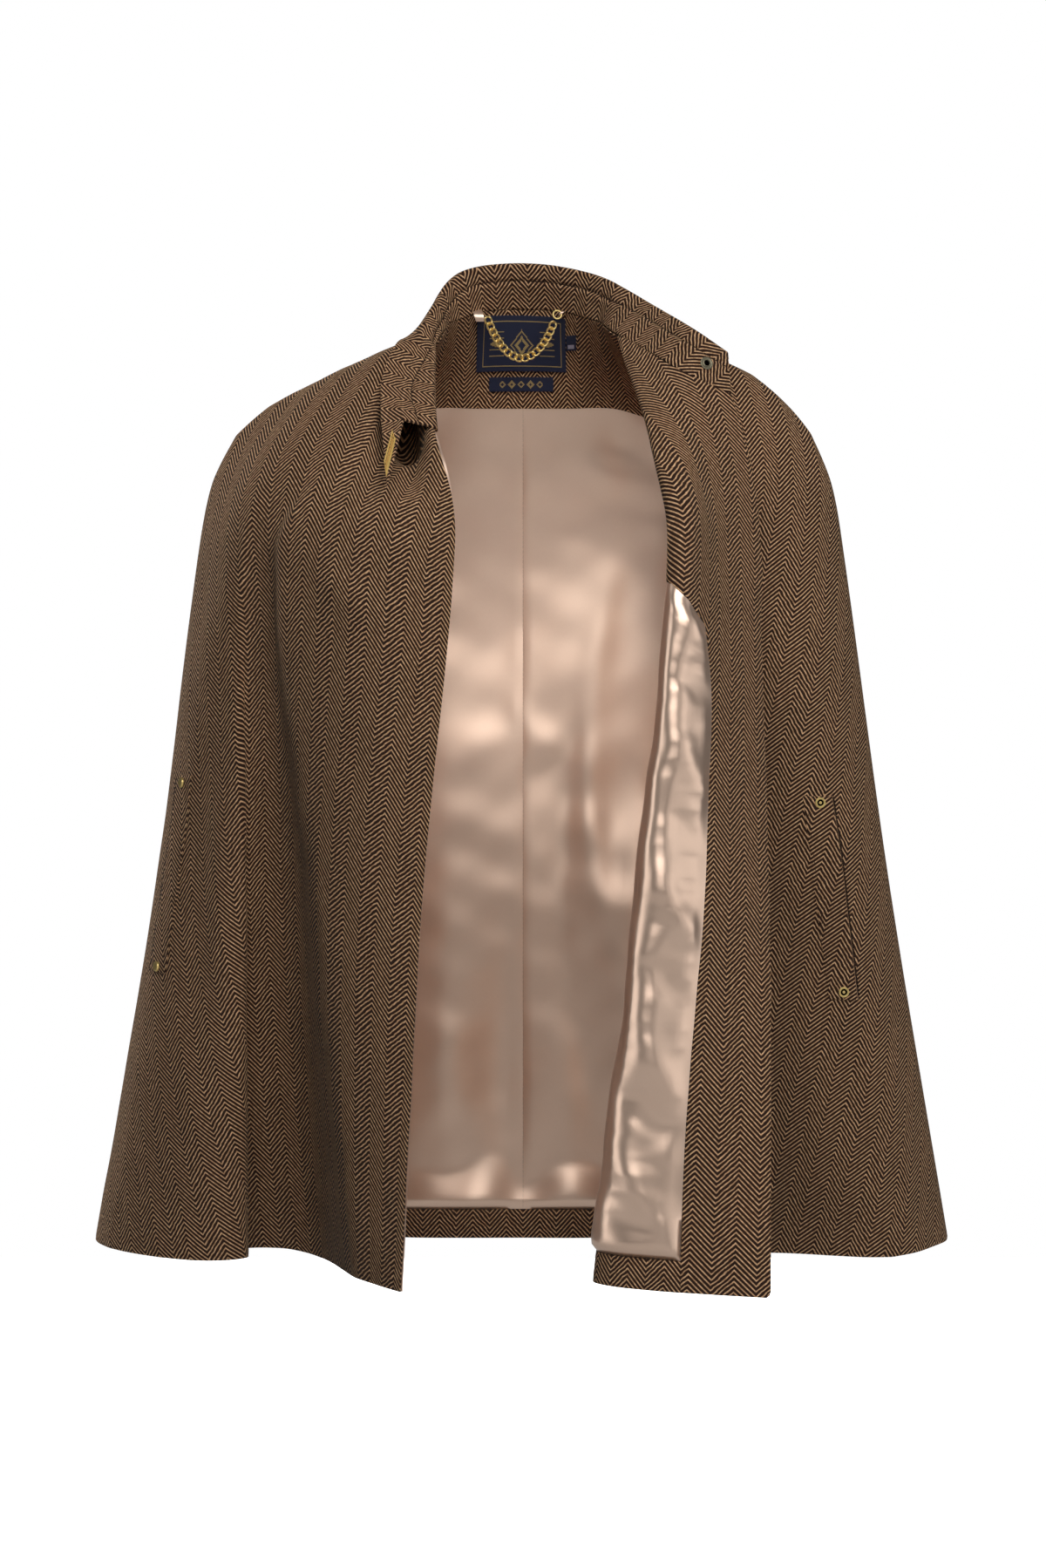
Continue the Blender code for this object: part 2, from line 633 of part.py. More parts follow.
def build_front(panel, grid, cloth):
    """Outer cloth, facing, lining, hem and arm welt of one front."""
    side = panel.side
    places, outward = grid
    columns = len(places[0]) - 1
    rows = len(places) - 1
    facing = column_index(panel.columns, "facing")
    welt = column_index(panel.columns, "welt")
    slit = column_index(panel.columns, "arm_slit")
    every = all_cells(rows, columns)
    cut = {(r, slit) for r in range(SLIT_TOP_ROW, SLIT_END_ROW)}
    name = side + "_front"
    sheet(name, places, outward, every - cut, 0.0, TWEED, cloth["tweed"])
    inner = {cell for cell in every if cell[1] < facing}
    if side == "left":
        behind = column_index(panel.columns, "roll_back")
        inner |= {(r, c) for r, c in every if r < BREAK_ROW and c < behind}
    face_cloth = cloth["tweed"] if side == "left" else cloth["satin"]
    sheet(name + "_facing", places, outward, inner, -SEAM_GAP - FACING, -SEAM_GAP, face_cloth, 0.25)
    hem = {(r, c) for r, c in every - inner if r >= HEM_ROW}
    sheet(name + "_hem", places, outward, hem, -SEAM_GAP - FACING, -SEAM_GAP, cloth["tweed"])
    rest = every - inner - hem - cut
    sheet(name + "_lining", places, outward, rest, -SEAM_GAP - LINING, -SEAM_GAP, cloth["satin"], 0.25)
    strip = {(r, c) for r in range(SLIT_TOP_ROW, SLIT_END_ROW) for c in range(welt, slit)}
    low = TWEED + SEAM_GAP
    sheet(side + "_arm_welt", places, outward, strip, low, low + WELT, cloth["tweed"])
    cap = ((0.4, 0.0), (SNAP_RADIUS, 0.0), (SNAP_RADIUS, SNAP_HEIGHT * 0.6),
           (SNAP_RADIUS * 0.8, SNAP_HEIGHT), (0.4, SNAP_HEIGHT))
    for label, at in (("upper", SLIT_TOP_ROW + 0.07), ("lower", SLIT_END_ROW - 0.07)):
        spots, faces = patch(places, outward, [at], [welt + 0.62])
        spot = spots[0][0] + faces[0][0] * (low + WELT + 2 * SEAM_GAP)
        turned(side + "_" + label + "_snap", cap, spot, faces[0][0], cloth["gold"])


def build_back(panel, grid, cloth):
    """Outer back, neck facing, the two halves of its lining and its hem."""
    places, outward = grid
    columns = len(places[0]) - 1
    rows = len(places) - 1
    middle = column_index(panel.columns, "centre_back")
    start = column_index(panel.columns, "right_neck") - 1
    end = column_index(panel.columns, "left_neck") + 1
    every = all_cells(rows, columns)
    sheet("back", places, outward, every, 0.0, TWEED, cloth["tweed"])
    neck = {(r, c) for r, c in every if r < NECK_FACING_ROW and start <= c < end}
    sheet("back_neck_facing", places, outward, neck, -SEAM_GAP - FACING, -SEAM_GAP, cloth["tweed"])
    hem = {(r, c) for r, c in every if r >= HEM_ROW}
    sheet("back_hem", places, outward, hem, -SEAM_GAP - FACING, -SEAM_GAP, cloth["tweed"])
    rest = every - neck - hem
    for name, part in (("right", {cell for cell in rest if cell[1] < middle}),
                       ("left", {cell for cell in rest if cell[1] >= middle})):
        sheet("back_lining_" + name, places, outward, part, -SEAM_GAP - LINING, -SEAM_GAP, cloth["satin"])


def build_collar(grids, cloth):
    """Folded collar, its metal plaque and the socket on the left stand."""
    places, outward = collar_grid(grids)
    cells = all_cells(len(places) - 1, len(places[0]) - 1)
    sheet("collar", places, outward, cells, -COLLAR / 2, COLLAR / 2, cloth["tweed"])
    low = COLLAR / 2 + SEAM_GAP
    spots, faces = patch(places, outward, spread(0.06, 0.6, 2), spread(12.4, 15.4, 5))
    sheet("collar_plaque", spots, faces, all_cells(2, 5), -low - 2.0, -low, cloth["gold"])
    spots, faces = patch(places, outward, [len(places) - 2.4], [4.2])
    face = -faces[0][0]
    spot = spots[0][0] + face * (low + 0.5)
    ring = ((SOCKET_HOLE, 0.0), (SOCKET_RADIUS, 0.0), (SOCKET_RADIUS * 0.9, 1.2), (SOCKET_HOLE * 1.3, 1.5))
    turned("collar_snap", ring, spot, face, cloth["bronze"], holed=True)


def back_spot(grid, x, z):
    """Row and column of the back where the cloth passes x and z."""
    places = grid[0]
    row = 0.5
    column = 0.5 * (len(places[0]) - 1)
    for _ in range(40):
        spots, _faces = patch(*grid, [row], [column])
        here = spots[0][0]
        right = patch(*grid, [row], [column + 0.05])[0][0][0]
        lower = patch(*grid, [row + 0.05], [column])[0][0][0]
        column += 0.05 * (x - here.x) / (right.x - here.x) * 0.7
        row += 0.05 * (z - here.z) / (lower.z - here.z) * 0.7
        row = max(row, 0.0)
    return row, column


def build_neck_trim(grid, cloth):
    """Labels on the back neck facing and the hanger chain above them."""
    low = SEAM_GAP + FACING + 1.6
    for label in LABELS:
        top, left = back_spot(grid, label.x - label.width / 2, label.z + label.height / 2)
        end, right = back_spot(grid, label.x + label.width / 2, label.z - label.height / 2)
        spots, faces = patch(*grid, spread(top, end, 3), spread(left, right, 5))
        sheet(label.name, spots, faces, all_cells(3, 5), -low - LABEL, -low, cloth["navy"])
    ends = []
    for x, z in (CHAIN_RIGHT, CHAIN_LEFT):
        row, column = back_spot(grid, x, z)
        ends.append(patch(*grid, [row], [column])[0][0][0])
    depth = min(ends[0].y, ends[1].y) - 11.5
    low_corner = (CHAIN_RIGHT[0] - 5, depth - 1.6, CHAIN_RIGHT[1] - 5)
    high_corner = (CHAIN_RIGHT[0] + 3, depth, -1.0)
    box("chain_tab", low_corner, high_corner, cloth["satin"])
    path = []
    start = Vector((CHAIN_RIGHT[0] + 6, depth, CHAIN_RIGHT[1] - 3))
    end = Vector((CHAIN_LEFT[0] - 1.5, depth, CHAIN_LEFT[1] - 6))
    sag = CHAIN_LOW[1]
    for i in range(25):
        f = i / 24
        spot = start.lerp(end, f)
        spot.z += (sag - (start.z + end.z) / 2) * (1 - (2 * f - 1) ** 2) ** 0.86
        path.append(spot)
    tube("hanger_chain", path, CHAIN_WIRE, cloth["gold"])
    hub = Vector((CHAIN_LEFT[0] + 1.5, depth, CHAIN_LEFT[1] + 0.5))
    ring = []
    for i in range(14):
        a = 2 * math.pi * i / 14
        ring.append(hub + Vector((math.sin(a), 0, math.cos(a))) * RING_RADIUS)
    tube("chain_ring", ring, RING_WIRE, cloth["gold"], closed=True)


def main():
    """Build every piece of the cape."""
    clear_scene()
    cloth = {
        "tweed": material("herringbone_tweed", (0.19, 0.13, 0.085), 0.95),
        "satin": material("champagne_satin", (0.60, 0.48, 0.39), 0.35),
        "gold": material("gold_plate", (0.83, 0.62, 0.24), 0.25, 1.0),
        "bronze": material("antique_bronze", (0.20, 0.18, 0.12), 0.4, 1.0),
        "navy": material("navy_weave", (0.012, 0.016, 0.045), 0.8),
    }
    right, left, back = panels()
    grids = {panel.side: panel_grid(panel) for panel in (right, left, back)}
    build_front(right, grids["right"], cloth)
    build_front(left, grids["left"], cloth)
    build_back(back, grids["back"], cloth)
    build_collar(grids, cloth)
    build_neck_trim(grids["back"], cloth)


main()
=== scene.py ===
"""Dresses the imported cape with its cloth, lining, collar, labels, chain and metal.

Lengths in the tables are millimetres, pieces are in metres. Up is +Z and the
front looks along -Y, as in the frame.
"""

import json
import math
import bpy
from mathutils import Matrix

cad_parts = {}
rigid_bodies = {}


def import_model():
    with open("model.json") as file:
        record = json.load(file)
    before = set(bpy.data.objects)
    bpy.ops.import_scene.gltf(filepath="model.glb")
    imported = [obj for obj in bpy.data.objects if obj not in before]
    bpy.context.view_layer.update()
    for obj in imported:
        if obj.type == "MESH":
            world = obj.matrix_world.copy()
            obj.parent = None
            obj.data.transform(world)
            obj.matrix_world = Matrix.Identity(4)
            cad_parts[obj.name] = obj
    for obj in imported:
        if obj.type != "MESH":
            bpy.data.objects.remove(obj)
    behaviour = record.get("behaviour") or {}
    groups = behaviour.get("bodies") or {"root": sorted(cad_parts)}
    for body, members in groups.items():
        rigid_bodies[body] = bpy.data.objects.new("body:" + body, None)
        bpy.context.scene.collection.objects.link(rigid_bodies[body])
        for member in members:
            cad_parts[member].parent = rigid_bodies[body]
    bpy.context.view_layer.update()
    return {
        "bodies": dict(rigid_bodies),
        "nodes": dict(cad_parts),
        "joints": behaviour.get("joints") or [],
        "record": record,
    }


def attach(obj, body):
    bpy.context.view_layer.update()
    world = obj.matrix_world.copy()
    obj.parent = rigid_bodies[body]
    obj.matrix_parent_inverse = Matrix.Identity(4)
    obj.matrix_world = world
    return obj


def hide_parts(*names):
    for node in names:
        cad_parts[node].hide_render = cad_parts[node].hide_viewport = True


bl_info = {
    "name": "Tweed Cape",
    "version": (1, 0, 0),
    "blender": (4, 5, 0),
    "location": "View3D > Sidebar > Cape",
    "description": "Dresses the solids of an open-fronted herringbone cape",
    "category": "Object",
}

from collections import namedtuple

import bpy
import numpy as np
from bpy.props import FloatProperty, FloatVectorProperty, PointerProperty
from mathutils import Matrix, Vector

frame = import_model()
MM = 0.001

# Fold lines of the cloth, from the front edge to the side: top on the neck or
# shoulder seam, upper and chest on the way over the shoulder, hem below.
Rib = namedtuple("Rib", "name over top upper chest waist hem")
WAIST = 0.48
RIGHT_RIBS = tuple(map(Rib._make, (
    ("front_edge", 0.0, (-72, 0, -36), (-68, -85, -116), (-52, -127, -194), (-5, 0), (-94, -115, -782)),
    ("front_middle", 0.3, (-83, 0.7, -36), (-100, -89, -132), (-112, -134, -205), (-3, 0), (-114, -93, -779)),
    ("fold_crest", 0.7, (-94, 1.4, -37), (-134, -93, -137), (-184, -100, -203), (0, 0), (-131, -73, -776)),
    ("fold_valley", 1.0, (-106, 2.2, -41), (-150, -86, -134), (-191, -84, -202), (0, -4), (-161, 16, -772)),
    ("fold_floor", 1.0, (-118, 2.9, -46), (-164, -77, -131), (-203, -74, -201), (0, -6), (-190, 36, -767)),
    ("bulge_valley", 1.0, (-130, 3.7, -52), (-175, -70, -130), (-211, -69, -201), (-2, -8), (-229, 34, -767)),
    ("bulge_crest", 1.0, (-143, 4.5, -57), (-185, -63, -130), (-219, -65, -201), (-2, 0), (-222, -18, -768)),
    ("bulge_front", 1.0, (-165, 5.9, -68), (-206, -46, -132), (-235, -47, -200), (0, 0), (-263, -24, -769)),
    ("arm_slit", 1.0, (-202, 8.2, -87), (-232, -15, -139), (-251, -17, -201), (4, 0), (-332, 28, -766)),
    ("side_seam", 1.0, (-230, 10, -111), (-249, 14, -149), (-259, 18, -202), (6, 0), (-349, 88, -763)),
)))
LEFT_RIBS = tuple(map(Rib._make, (
    ("front_edge", 0.0, (164, -48, -83), (181, -58, -148), (184, -65, -212), (4, 6), (188, -165, -780)),
    ("facing_middle", 0.0, (124, -57, -65), (145, -98, -147), (151, -112, -210), (6, -4), (138, -166, -777)),
    ("roll_front", 0.0, (98, -31, -46), (122, -136, -152), (128, -157, -208), (0, -12), (80, -161, -773)),
    ("roll_apex", 0.0, (77, 0, -30), (106, -138, -151), (115, -159, -207), (3, -12), (56, -147, -771)),
    ("roll_back", 0.0, (94, 1.1, -34), (107, -118, -146), (114, -145, -205), (2, -10), (55, -128, -770)),
    ("roll_under", 0.35, (105, 1.8, -36), (131, -90, -138), (144, -96, -200), (-4, -4), (66, -92, -769)),
    ("hidden_valley", 0.7, (119, 2.7, -39), (156, -60, -129), (168, -56, -197), (0, 0), (118, -6, -768)),
    ("arm_front", 1.0, (144, 4.4, -46), (177, -46, -129), (186, -46, -198), (0, 0), (205, 22, -769)),
    ("arm_slit", 1.0, (181, 6.8, -61), (207, -28, -130), (214, -35, -199), (0, 0), (294, 13, -771)),
    ("arm_side", 1.0, (213, 8.8, -88), (236, -7, -139), (244, -11, -200), (-2, 0), (332, 44, -767)),
    ("side_seam", 1.0, (231, 10, -110), (247, 14, -149), (257, 18, -202), (-4, 0), (349, 88, -764)),
)))
BACK_RIBS = tuple(map(Rib._make, (
    ("right_side_seam", 1.0, (-230, 10, -111), (-249, 14, -149), (-259, 18, -202), (6, 0), (-349, 88, -763)),
    ("right_flute", 1.0, (-202, 8.2, -87), (-233, 46, -137), (-243, 62, -201), (6, 0), (-316, 158, -765)),
    ("right_blade", 1.0, (-138, 4.2, -55), (-186, 80, -119), (-203, 103, -200), (4, 0), (-225, 196, -769)),
    ("right_neck", 1.0, (-72, 0, -36), (-122, 98, -97), (-140, 124, -200), (0, 0), (-150, 168, -771)),
    ("right_yoke", 0.0, (-61, 38, -16), (-74, 104, -78), (-86, 133, -200), (0, 0), (-94, 150, -772)),
    ("right_nape", 0.0, (-34, 66, -3), (-38, 106, -78), (-43, 136, -200), (0, 0), (-47, 147, -772)),
    ("centre_back", 0.0, (0, 75, 0), (0, 107, -78), (0, 137, -200), (0, 0), (0, 147, -772)),
    ("left_nape", 0.0, (35, 66, -3), (38, 106, -78), (43, 136, -200), (0, 0), (47, 147, -772)),
    ("left_yoke", 0.0, (63, 38, -15), (74, 104, -78), (86, 133, -200), (0, 0), (92, 150, -772)),
    ("left_neck", 1.0, (77, 0, -30), (124, 98, -94), (140, 124, -200), (0, 0), (152, 171, -771)),
    ("left_blade", 1.0, (128, 3.3, -42), (186, 80, -115), (203, 103, -200), (-3, 0), (232, 192, -769)),
    ("left_flute", 1.0, (213, 8.8, -88), (232, 46, -135), (242, 62, -201), (-4, 0), (311, 150, -766)),
    ("left_side_seam", 1.0, (231, 10, -110), (247, 14, -149), (257, 18, -202), (-4, 0), (349, 88, -764)),
)))

# Level lines of a panel: (ring, share of the way to the next ring).
UPPER_ROWS = ((0, 0.0), (0, 0.25), (0, 0.5), (0, 0.75), (1, 0.0), (1, 0.34), (1, 0.67),
              (2, 0.0), (2, 0.115), (2, 0.25), (2, 0.46))
LOWER_ROWS = ((3, 0.60), (3, 0.919), (3, 1.0))
SLIT_ROWS = {"right": ((2, 0.67), (3, 0.0), (3, 0.235)), "left": ((2, 0.73), (3, 0.0), (3, 0.30)),
             "back": ((2, 0.70), (3, 0.0), (3, 0.27))}
NECK_FACING_ROW = 4
BREAK_ROW = 8
SLIT_TOP_ROW = 11
SLIT_END_ROW = 13
HEM_ROW = 15

# Cut lines of the fronts. The facings stay within a share of the way to the first
# fold on the right, and clear of the roll on the left.
FACING_SHARE = 0.55
FACING_CLEAR = 8.0
RIGHT_FACING_WIDTH = 45.0
WELT_WIDTH = 20.0
SLIT_WIDTH = 5.0
LEFT_FACING_WIDTH = ((0.0, 105.0), (1.0, 90.0), (2.0, 96.0), (2.115, 95.0), (2.25, 82.0), (2.46, 70.0),
                     (4.0, 69.0))

# Columns of each panel: (fold line or cut line, columns from the one before).
RIGHT_COLUMNS = (("front_edge", 0), ("facing", 3), ("fold_crest", 4), ("fold_valley", 3), ("fold_floor", 2),
                 ("bulge_valley", 3), ("bulge_crest", 4), ("bulge_front", 3), ("welt", 3), ("arm_slit", 1),
                 ("slit_back", 1), ("side_seam", 3))
LEFT_COLUMNS = (("front_edge", 0), ("facing", 7), ("roll_front", 2), ("roll_apex", 3), ("roll_back", 3),
                ("roll_under", 4), ("hidden_valley", 4), ("arm_front", 3), ("welt", 3), ("arm_slit", 1),
                ("slit_back", 1), ("arm_side", 2), ("side_seam", 2))
BACK_COLUMNS = (("right_side_seam", 0), ("right_flute", 3), ("right_blade", 3), ("right_neck", 4),
                ("right_yoke", 2), ("right_nape", 1), ("centre_back", 2), ("left_nape", 2),
                ("left_yoke", 1), ("left_neck", 2), ("left_blade", 4), ("left_flute", 3),
                ("left_side_seam", 3))

# Collar stations round the neck: place on the neck seam, fold and free edge.
Station = namedtuple("Station", "seam share fold edge")
COLLAR_STATIONS = (
    Station("right", 0.0, (-93, -92, -107), (-104, -133, -163)),
    Station("right", 0.42, (-101, -59, -79), (-112, -61, -80)),
    Station("right", 0.80, (-86, -20, -38), (-101, -23, -40)),
    Station("back", 0.12, (-69, 22, -2), (-82, 36, -30)),
    Station("back", 0.30, (-48.5, 47, 25.7), (-62, 76, -20)),
    Station("back", 0.50, (0, 60, 33.6), (0, 94, -13)),
    Station("back", 0.70, (49.7, 47, 25.7), (69, 74, -22)),
    Station("back", 0.88, (79, 24, 11), (103, 47, -30)),
    Station("left", 0.02, (102, 8, -4), (127, 25, -35)),
    Station("left", 0.55, (136, -40, -31), (151, 6, -37)),
    Station("left", 1.0, (162, -40, -49), (164.5, -2.5, -50)),
)

# Rows between stations, gap at the neck seam, height of the foot, round of the fold.
COLLAR_STEPS = 3
COLLAR_SET = 0.5
COLLAR_FOOT = 4.5
FOLD_ROUND = 4.0

# Labels on the back neck facing, by the x and z of the middle.
Label = namedtuple("Label", "name x width z height")
LABELS = (
    Label("main_label", -1.5, 76.0, -28.0, 41.0),
    Label("small_label", -1.5, 54.0, -58.0, 11.5),
    Label("size_tab", 41.0, 8.5, -26.0, 11.5),
)

# Hanger chain: its two holders on the back neck facing, in x and z, and its lowest level.
CHAIN_RIGHT = (-35.0, -6.0)
CHAIN_LEFT = (26.5, -7.0)
CHAIN_LOW = -42.0

# Chain ends from its holders, in x and z, the roundness of its bow, its distance in
# front of the cloth and the twist of a link.
CHAIN_START = (6.0, -3.0)
CHAIN_END = (-1.5, -6.0)
CHAIN_BOW = 0.86
CHAIN_CLEAR = 11.5
LINK_TWIST = math.radians(82)

# Jump ring: middle from the left end of the chain, the way it faces, its turn.
RING_HUB = (1.5, 0.5)
RING_FACE = (0.15, -1, 0.1)
RING_SPIN = 2.2

# Satin tapes of the chain: middle, width and slant, then depth and height of
# the points along the tape from the neck seam.
Tape = namedtuple("Tape", "name x wide lean profile")
TAPES = (
    Tape("chain_tab_cloth", -36.5, 8.0, 0.32,
         ((9.5, -1.0), (5.0, -2.4), (1.2, -4.6), (-0.4, -8.0), (0.4, -12.2))),
    Tape("chain_ring_tape", 30.6, 3.2, -0.9,
         ((9.5, -3.0), (5.0, -3.4), (1.5, -3.8), (0.2, -4.6), (0.4, -6.2))),
)

# Every tape: length of its grain, half of its thickness, and cells across it.
TAPE_LENGTH = 16.0
TAPE_HALF_GAUGE = 0.45
TAPE_COLUMNS = 6

# Joins of the cloth: gap between layers, pull of a cut edge, the same for facings,
# share of the thickness that a cut edge keeps, and the angle of a sharp fold.
SEAM_GAP = 0.3
EDGE_INSET = 0.15
FACING_INSET = 0.25
EDGE_THIN = 0.62
SHARP_FOLD = math.radians(55)

# Draw-in of the corner at the left front hem.
CORNER_EASE = 1.8

# Arm welts: lift off the tweed, slit left open beside the lip, shift of the
# weave, and the columns where the stitches and the snaps sit.
WELT_LIFT = 0.1
SLIT_SHOWN = 2.2
WELT_SHIFT = (5.0, 1.6)
WELT_SEWN = 0.12
# The slit's stitch row sits in the gap at this column: dark thread that paints the shadow along the opening
# edge.
SLIT_SHADOW_SEWN = 0.8
SEWN_ENDS = 0.02
SNAP_COLUMN = 0.62
SNAP_ROW = 0.07
SNAP_LIFT = 0.05

# Collar snap: rows from the left end, column, and lift off the middle of the cloth.
COLLAR_SNAP_ROWS = 1.4
COLLAR_SNAP_COLUMN = 3.6
COLLAR_SNAP_LIFT = 1.75

# Unevenness of the hanging tweed: size and height of the slow and the quick waves,
# the calm below the seams, the run in which the waves grow, and their seeds.
SLOW_WAVE = (150.0, 1.1)
QUICK_WAVE = (70.0, 0.45)
WAVE_CALM = {"right": 0.0, "left": 0.0, "back": 66.0}
WAVE_GROWTH = 45.0
WAVE_SEED = {"right": 11, "left": 23, "back": 37}

# Columns of a panel that are cut twice as fine.
CLOSE_COLUMNS = {"right": range(7), "left": (), "back": ()}

# Loose lining: its stand off the tweed, height of its waves, size of the slow ones,
# size and share of height of the quick ones, and their seeds.
LINING_LOOSE = {"right": 1.2, "left": 1.2, "back": 2.6}
LINING_WAVE = {"right": 0.9, "left": 0.9, "back": 0.6}
LINING_SLOW = 110.0
LINING_QUICK = (46.0, 0.55)
LINING_SEED = {"right": 51, "left": 63, "back": 75}

# Edges of the lining: the run in which it comes loose, the pull and the thickness
# kept of its cut edges, and depth and half width of the dip at the centre back seam.
LINING_REACH = {"right": 26.0, "left": 14.0, "back": 60.0}
LINING_INSET = {"right": 0.25, "left": 0.25, "back": 0.06}
LINING_THIN = 0.9
MIDDLE_SEAM = (0.6, 2.0)

# Lining of the turned-back front: more room, stronger creases, fine puckers
# that run across it (stretch of the grain, size and height).
FLAP_LOOSE = 1.6
FLAP_CREASING = 1.5
PUCKER_STRETCH = (0.45, 1.4)
PUCKER = (19.0, 0.8)

# Share of its box under which a piece of cloth counts as a slanting strip.
STRIP_SHARE = 0.32

# Labels: size of a woven step, lift off the facing, thickness, steps from the edge
# to the stitches, and low side, high side, inset and thin edge of the raised thread.
THREAD = 0.75
LABEL_LIFT = 1.3
LABEL_GAUGE = 0.6
LABEL_RIM = 1.6
LABEL_RAISED = (0.62, 0.85)
RAISED_INSET = 0.05
RAISED_THIN = 0.5

# Search for a spot on the back: step in rows and columns, share of a move, rounds.
SPOT_STEP = 0.05
SPOT_SHARE = 0.7
SPOT_ROUNDS = 60

# Sewn groove round the collar: drop below the fold, depth, half width, level of its
# stitches, and the stand under it that a stitch needs.
GROOVE_DROP = 12.0
GROOVE_DEPTH = 1.2
GROOVE_WIDE = 1.2
GROOVE_SEWN = -0.15
GROOVE_STAND = 3.0

# Cloth that swells beside the groove: height, distance from it and width.
GROOVE_SWELL = (0.45, 4.0, 2.4)

# Collar cells, as a share of the panels' cells, the closer columns under the fold,
# and the rows to each side of the middle that set the grain.
COLLAR_CELL = 0.42
COLLAR_CLOSE = 5
COLLAR_SPAN = 4

# Fold of spare lining that hangs over the hem: height, depth, curve, round of its
# lower edge, run from the seams, and its crumples (size and height).
PLEAT_HEIGHT = 36.0
PLEAT_DEPTH = 6.5
PLEAT_CURVE = 1.2
PLEAT_ROUND = 2.6
PLEAT_START = 2.0
PLEAT_CRUMPLE = (58.0, 0.32)

# Offset of the herringbone stripes from the grain line of each panel.
STRIPE_SHIFT = {"right": 7.0, "left": -10.9, "back": 0.0}
COLLAR_SHIFT = 3.6

# Share by which the stripes of a facing are drawn together.
STRIPE_EASE = {"left_front_facing": 0.82, "back_neck_facing": 1.11}

# Fall of the seam above the flap lining, from the roll to the facing.
SEAM_SLANT = 30.0
SLANT_REACH = 80.0

# Sag of the weft on the right front: fall over run, and the run it reaches.
WEFT_SAG = (0.25, 110.0)

# Satin that rolls out past the right front edge below the collar.
SLIVER_OUT = 2.2
SLIVER_SPAN = (-116.0, -166.0)

# Collar plaque: rows and columns of the collar that it covers, its lift, the further
# lift of its back edge, its bow, its thickness and the petals in half its length.
PLAQUE_ROWS = (0.22, 0.62)
PLAQUE_COLUMNS = (13.2, 15.9)
PLAQUE_LIFT = 2.6
PLAQUE_TURN = 2.6
PLAQUE_BOW = 0.5
PLAQUE_GAUGE = 1.2
PLAQUE_BEATS = 7

# Length, spacing and thickness of the hand stitches.
STITCH = (2.2, 5.5, 0.55)
LABEL_STITCH = (1.5, 2.7, 0.4)
# Groove row: near-continuous dark thread for the stitching, which also paints the shade in the groove.
GROOVE_SHADE_STITCH = (3.4, 3.5, 0.9)
# Slit row: near-continuous dark thread, a painted shadow along the slit's opening edge.
SLIT_SHADOW_STITCH = (3.4, 3.5, 1.6)

# Soft lights: power in watts, size, place and aim in metres, beam in degrees,
# and whether matt cloth and gloss are lit by them.
Lamp = namedtuple("Lamp", "name power wide high place aim beam matt gloss")
LAMPS = (
    Lamp("key", 64.0, 3.0, 1.4, (0.5, -2.5, 1.45), (0.0, 0.0, -0.35), 180, True, True),
    Lamp("front", 25.0, 3.2, 1.5, (0.2, -4.2, 0.5), (0.0, 0.0, -0.3), 180, True, True),
    Lamp("left", 1.5, 1.2, 2.0, (-3.2, -1.6, 0.1), (0.0, 0.0, -0.4), 180, True, True),
    Lamp("right", 11.0, 2.4, 2.6, (3.0, -0.3, 0.1), (0.0, 0.0, -0.4), 180, True, True),
    Lamp("top", 4.0, 1.6, 1.6, (0.0, 0.4, 2.4), (0.0, 0.0, -0.2), 180, True, True),
    Lamp("rear", 100.0, 1.6, 2.0, (-2.9, 2.6, 0.6), (0.0, 0.0, -0.4), 180, True, False),
    Lamp("glint", 40.0, 1.6, 2.0, (-2.9, 2.6, 0.6), (0.0, 0.0, -0.4), 180, False, True),
    Lamp("inner", 0.12, 0.16, 0.16, (0.04, -0.16, -0.27), (0.03, 0.13, -0.27), 76, True, False),
    Lamp("bounce", 42.0, 5.2, 5.2, (0.0, 0.0, -1.09), (0.0, 0.01, 0.0), 180, False, True),
    Lamp("shine", 16.0, 1.8, 2.0, (-2.6, -1.0, -0.2), (0.0, 0.0, -0.3), 180, False, True),
    Lamp("sheen", 12.0, 3.6, 1.6, (2.9, -1.2, -0.45), (0.1, -0.1, -0.45), 180, False, True),
)

# Waves that cross in a ripple.
RIPPLE_WAVES = 7

# Bow of a crease over its length, its lean to one side, and how full its ends are.
CREASE_BOW = 0.08
CREASE_LEAN = 0.3
CREASE_ENDS = 1.15

# Listed creases: ends in x and z, half width and height. A crease with a
# minus height is a furrow.
Crease = namedtuple("Crease", "x0 z0 x1 z1 wide high")
TWEED_FOLDS = {
    "right": (
        Crease(-97, -78, -87, -134, 10, -36.0),
        Crease(-97, -84, -80, -178, 14, -13.0),
        Crease(-72, -100, -62, -152, 8, 4.2),
        Crease(-162, -206, -108, -269, 14, 3.2),
        Crease(-207, -204, -226, -745, 16, -3.5),
    ),
    "left": (
        Crease(188, -156, 212, -285, 16, -3.0),
        Crease(214, -230, 262, -520, 22, 3.0),
        Crease(240, -430, 300, -745, 20, -2.6),
    ),
    "back": (
        Crease(-150, -250, -205, -790, 28, 9.0),
        Crease(165, -260, 215, -790, 28, 8.5),
        Crease(-108, -380, -128, -800, 22, -8.0),
        Crease(118, -350, 136, -800, 24, -8.5),
        Crease(-8, -470, 14, -820, 34, 6.0),
        Crease(-196, -140, -120, -330, 26, 5.0),
        Crease(190, -150, 118, -320, 26, -5.0),
        Crease(-245, -330, -290, -740, 20, -6.0),
        Crease(250, -360, 292, -750, 20, -5.5),
    ),
}
BACK_CREASES = (
    Crease(-66, -348, -2, -352, 16, 0.8),
    Crease(-20, -300, 34, -372, 13, 1.1),
    Crease(6, -392, 56, -330, 12, -1.0),
    Crease(48, -110, 96, -150, 14, 1.6),
    Crease(60, -96, 104, -112, 11, -1.4),
    Crease(64, -270, 62, -690, 15, -2.2),
    Crease(84, -170, 82, -570, 14, 2.8),
    Crease(-40, -430, -52, -700, 26, 1.0),
    Crease(18, -470, 26, -640, 28, -1.0),
    Crease(-70, -560, -30, -705, 22, 0.9),
)
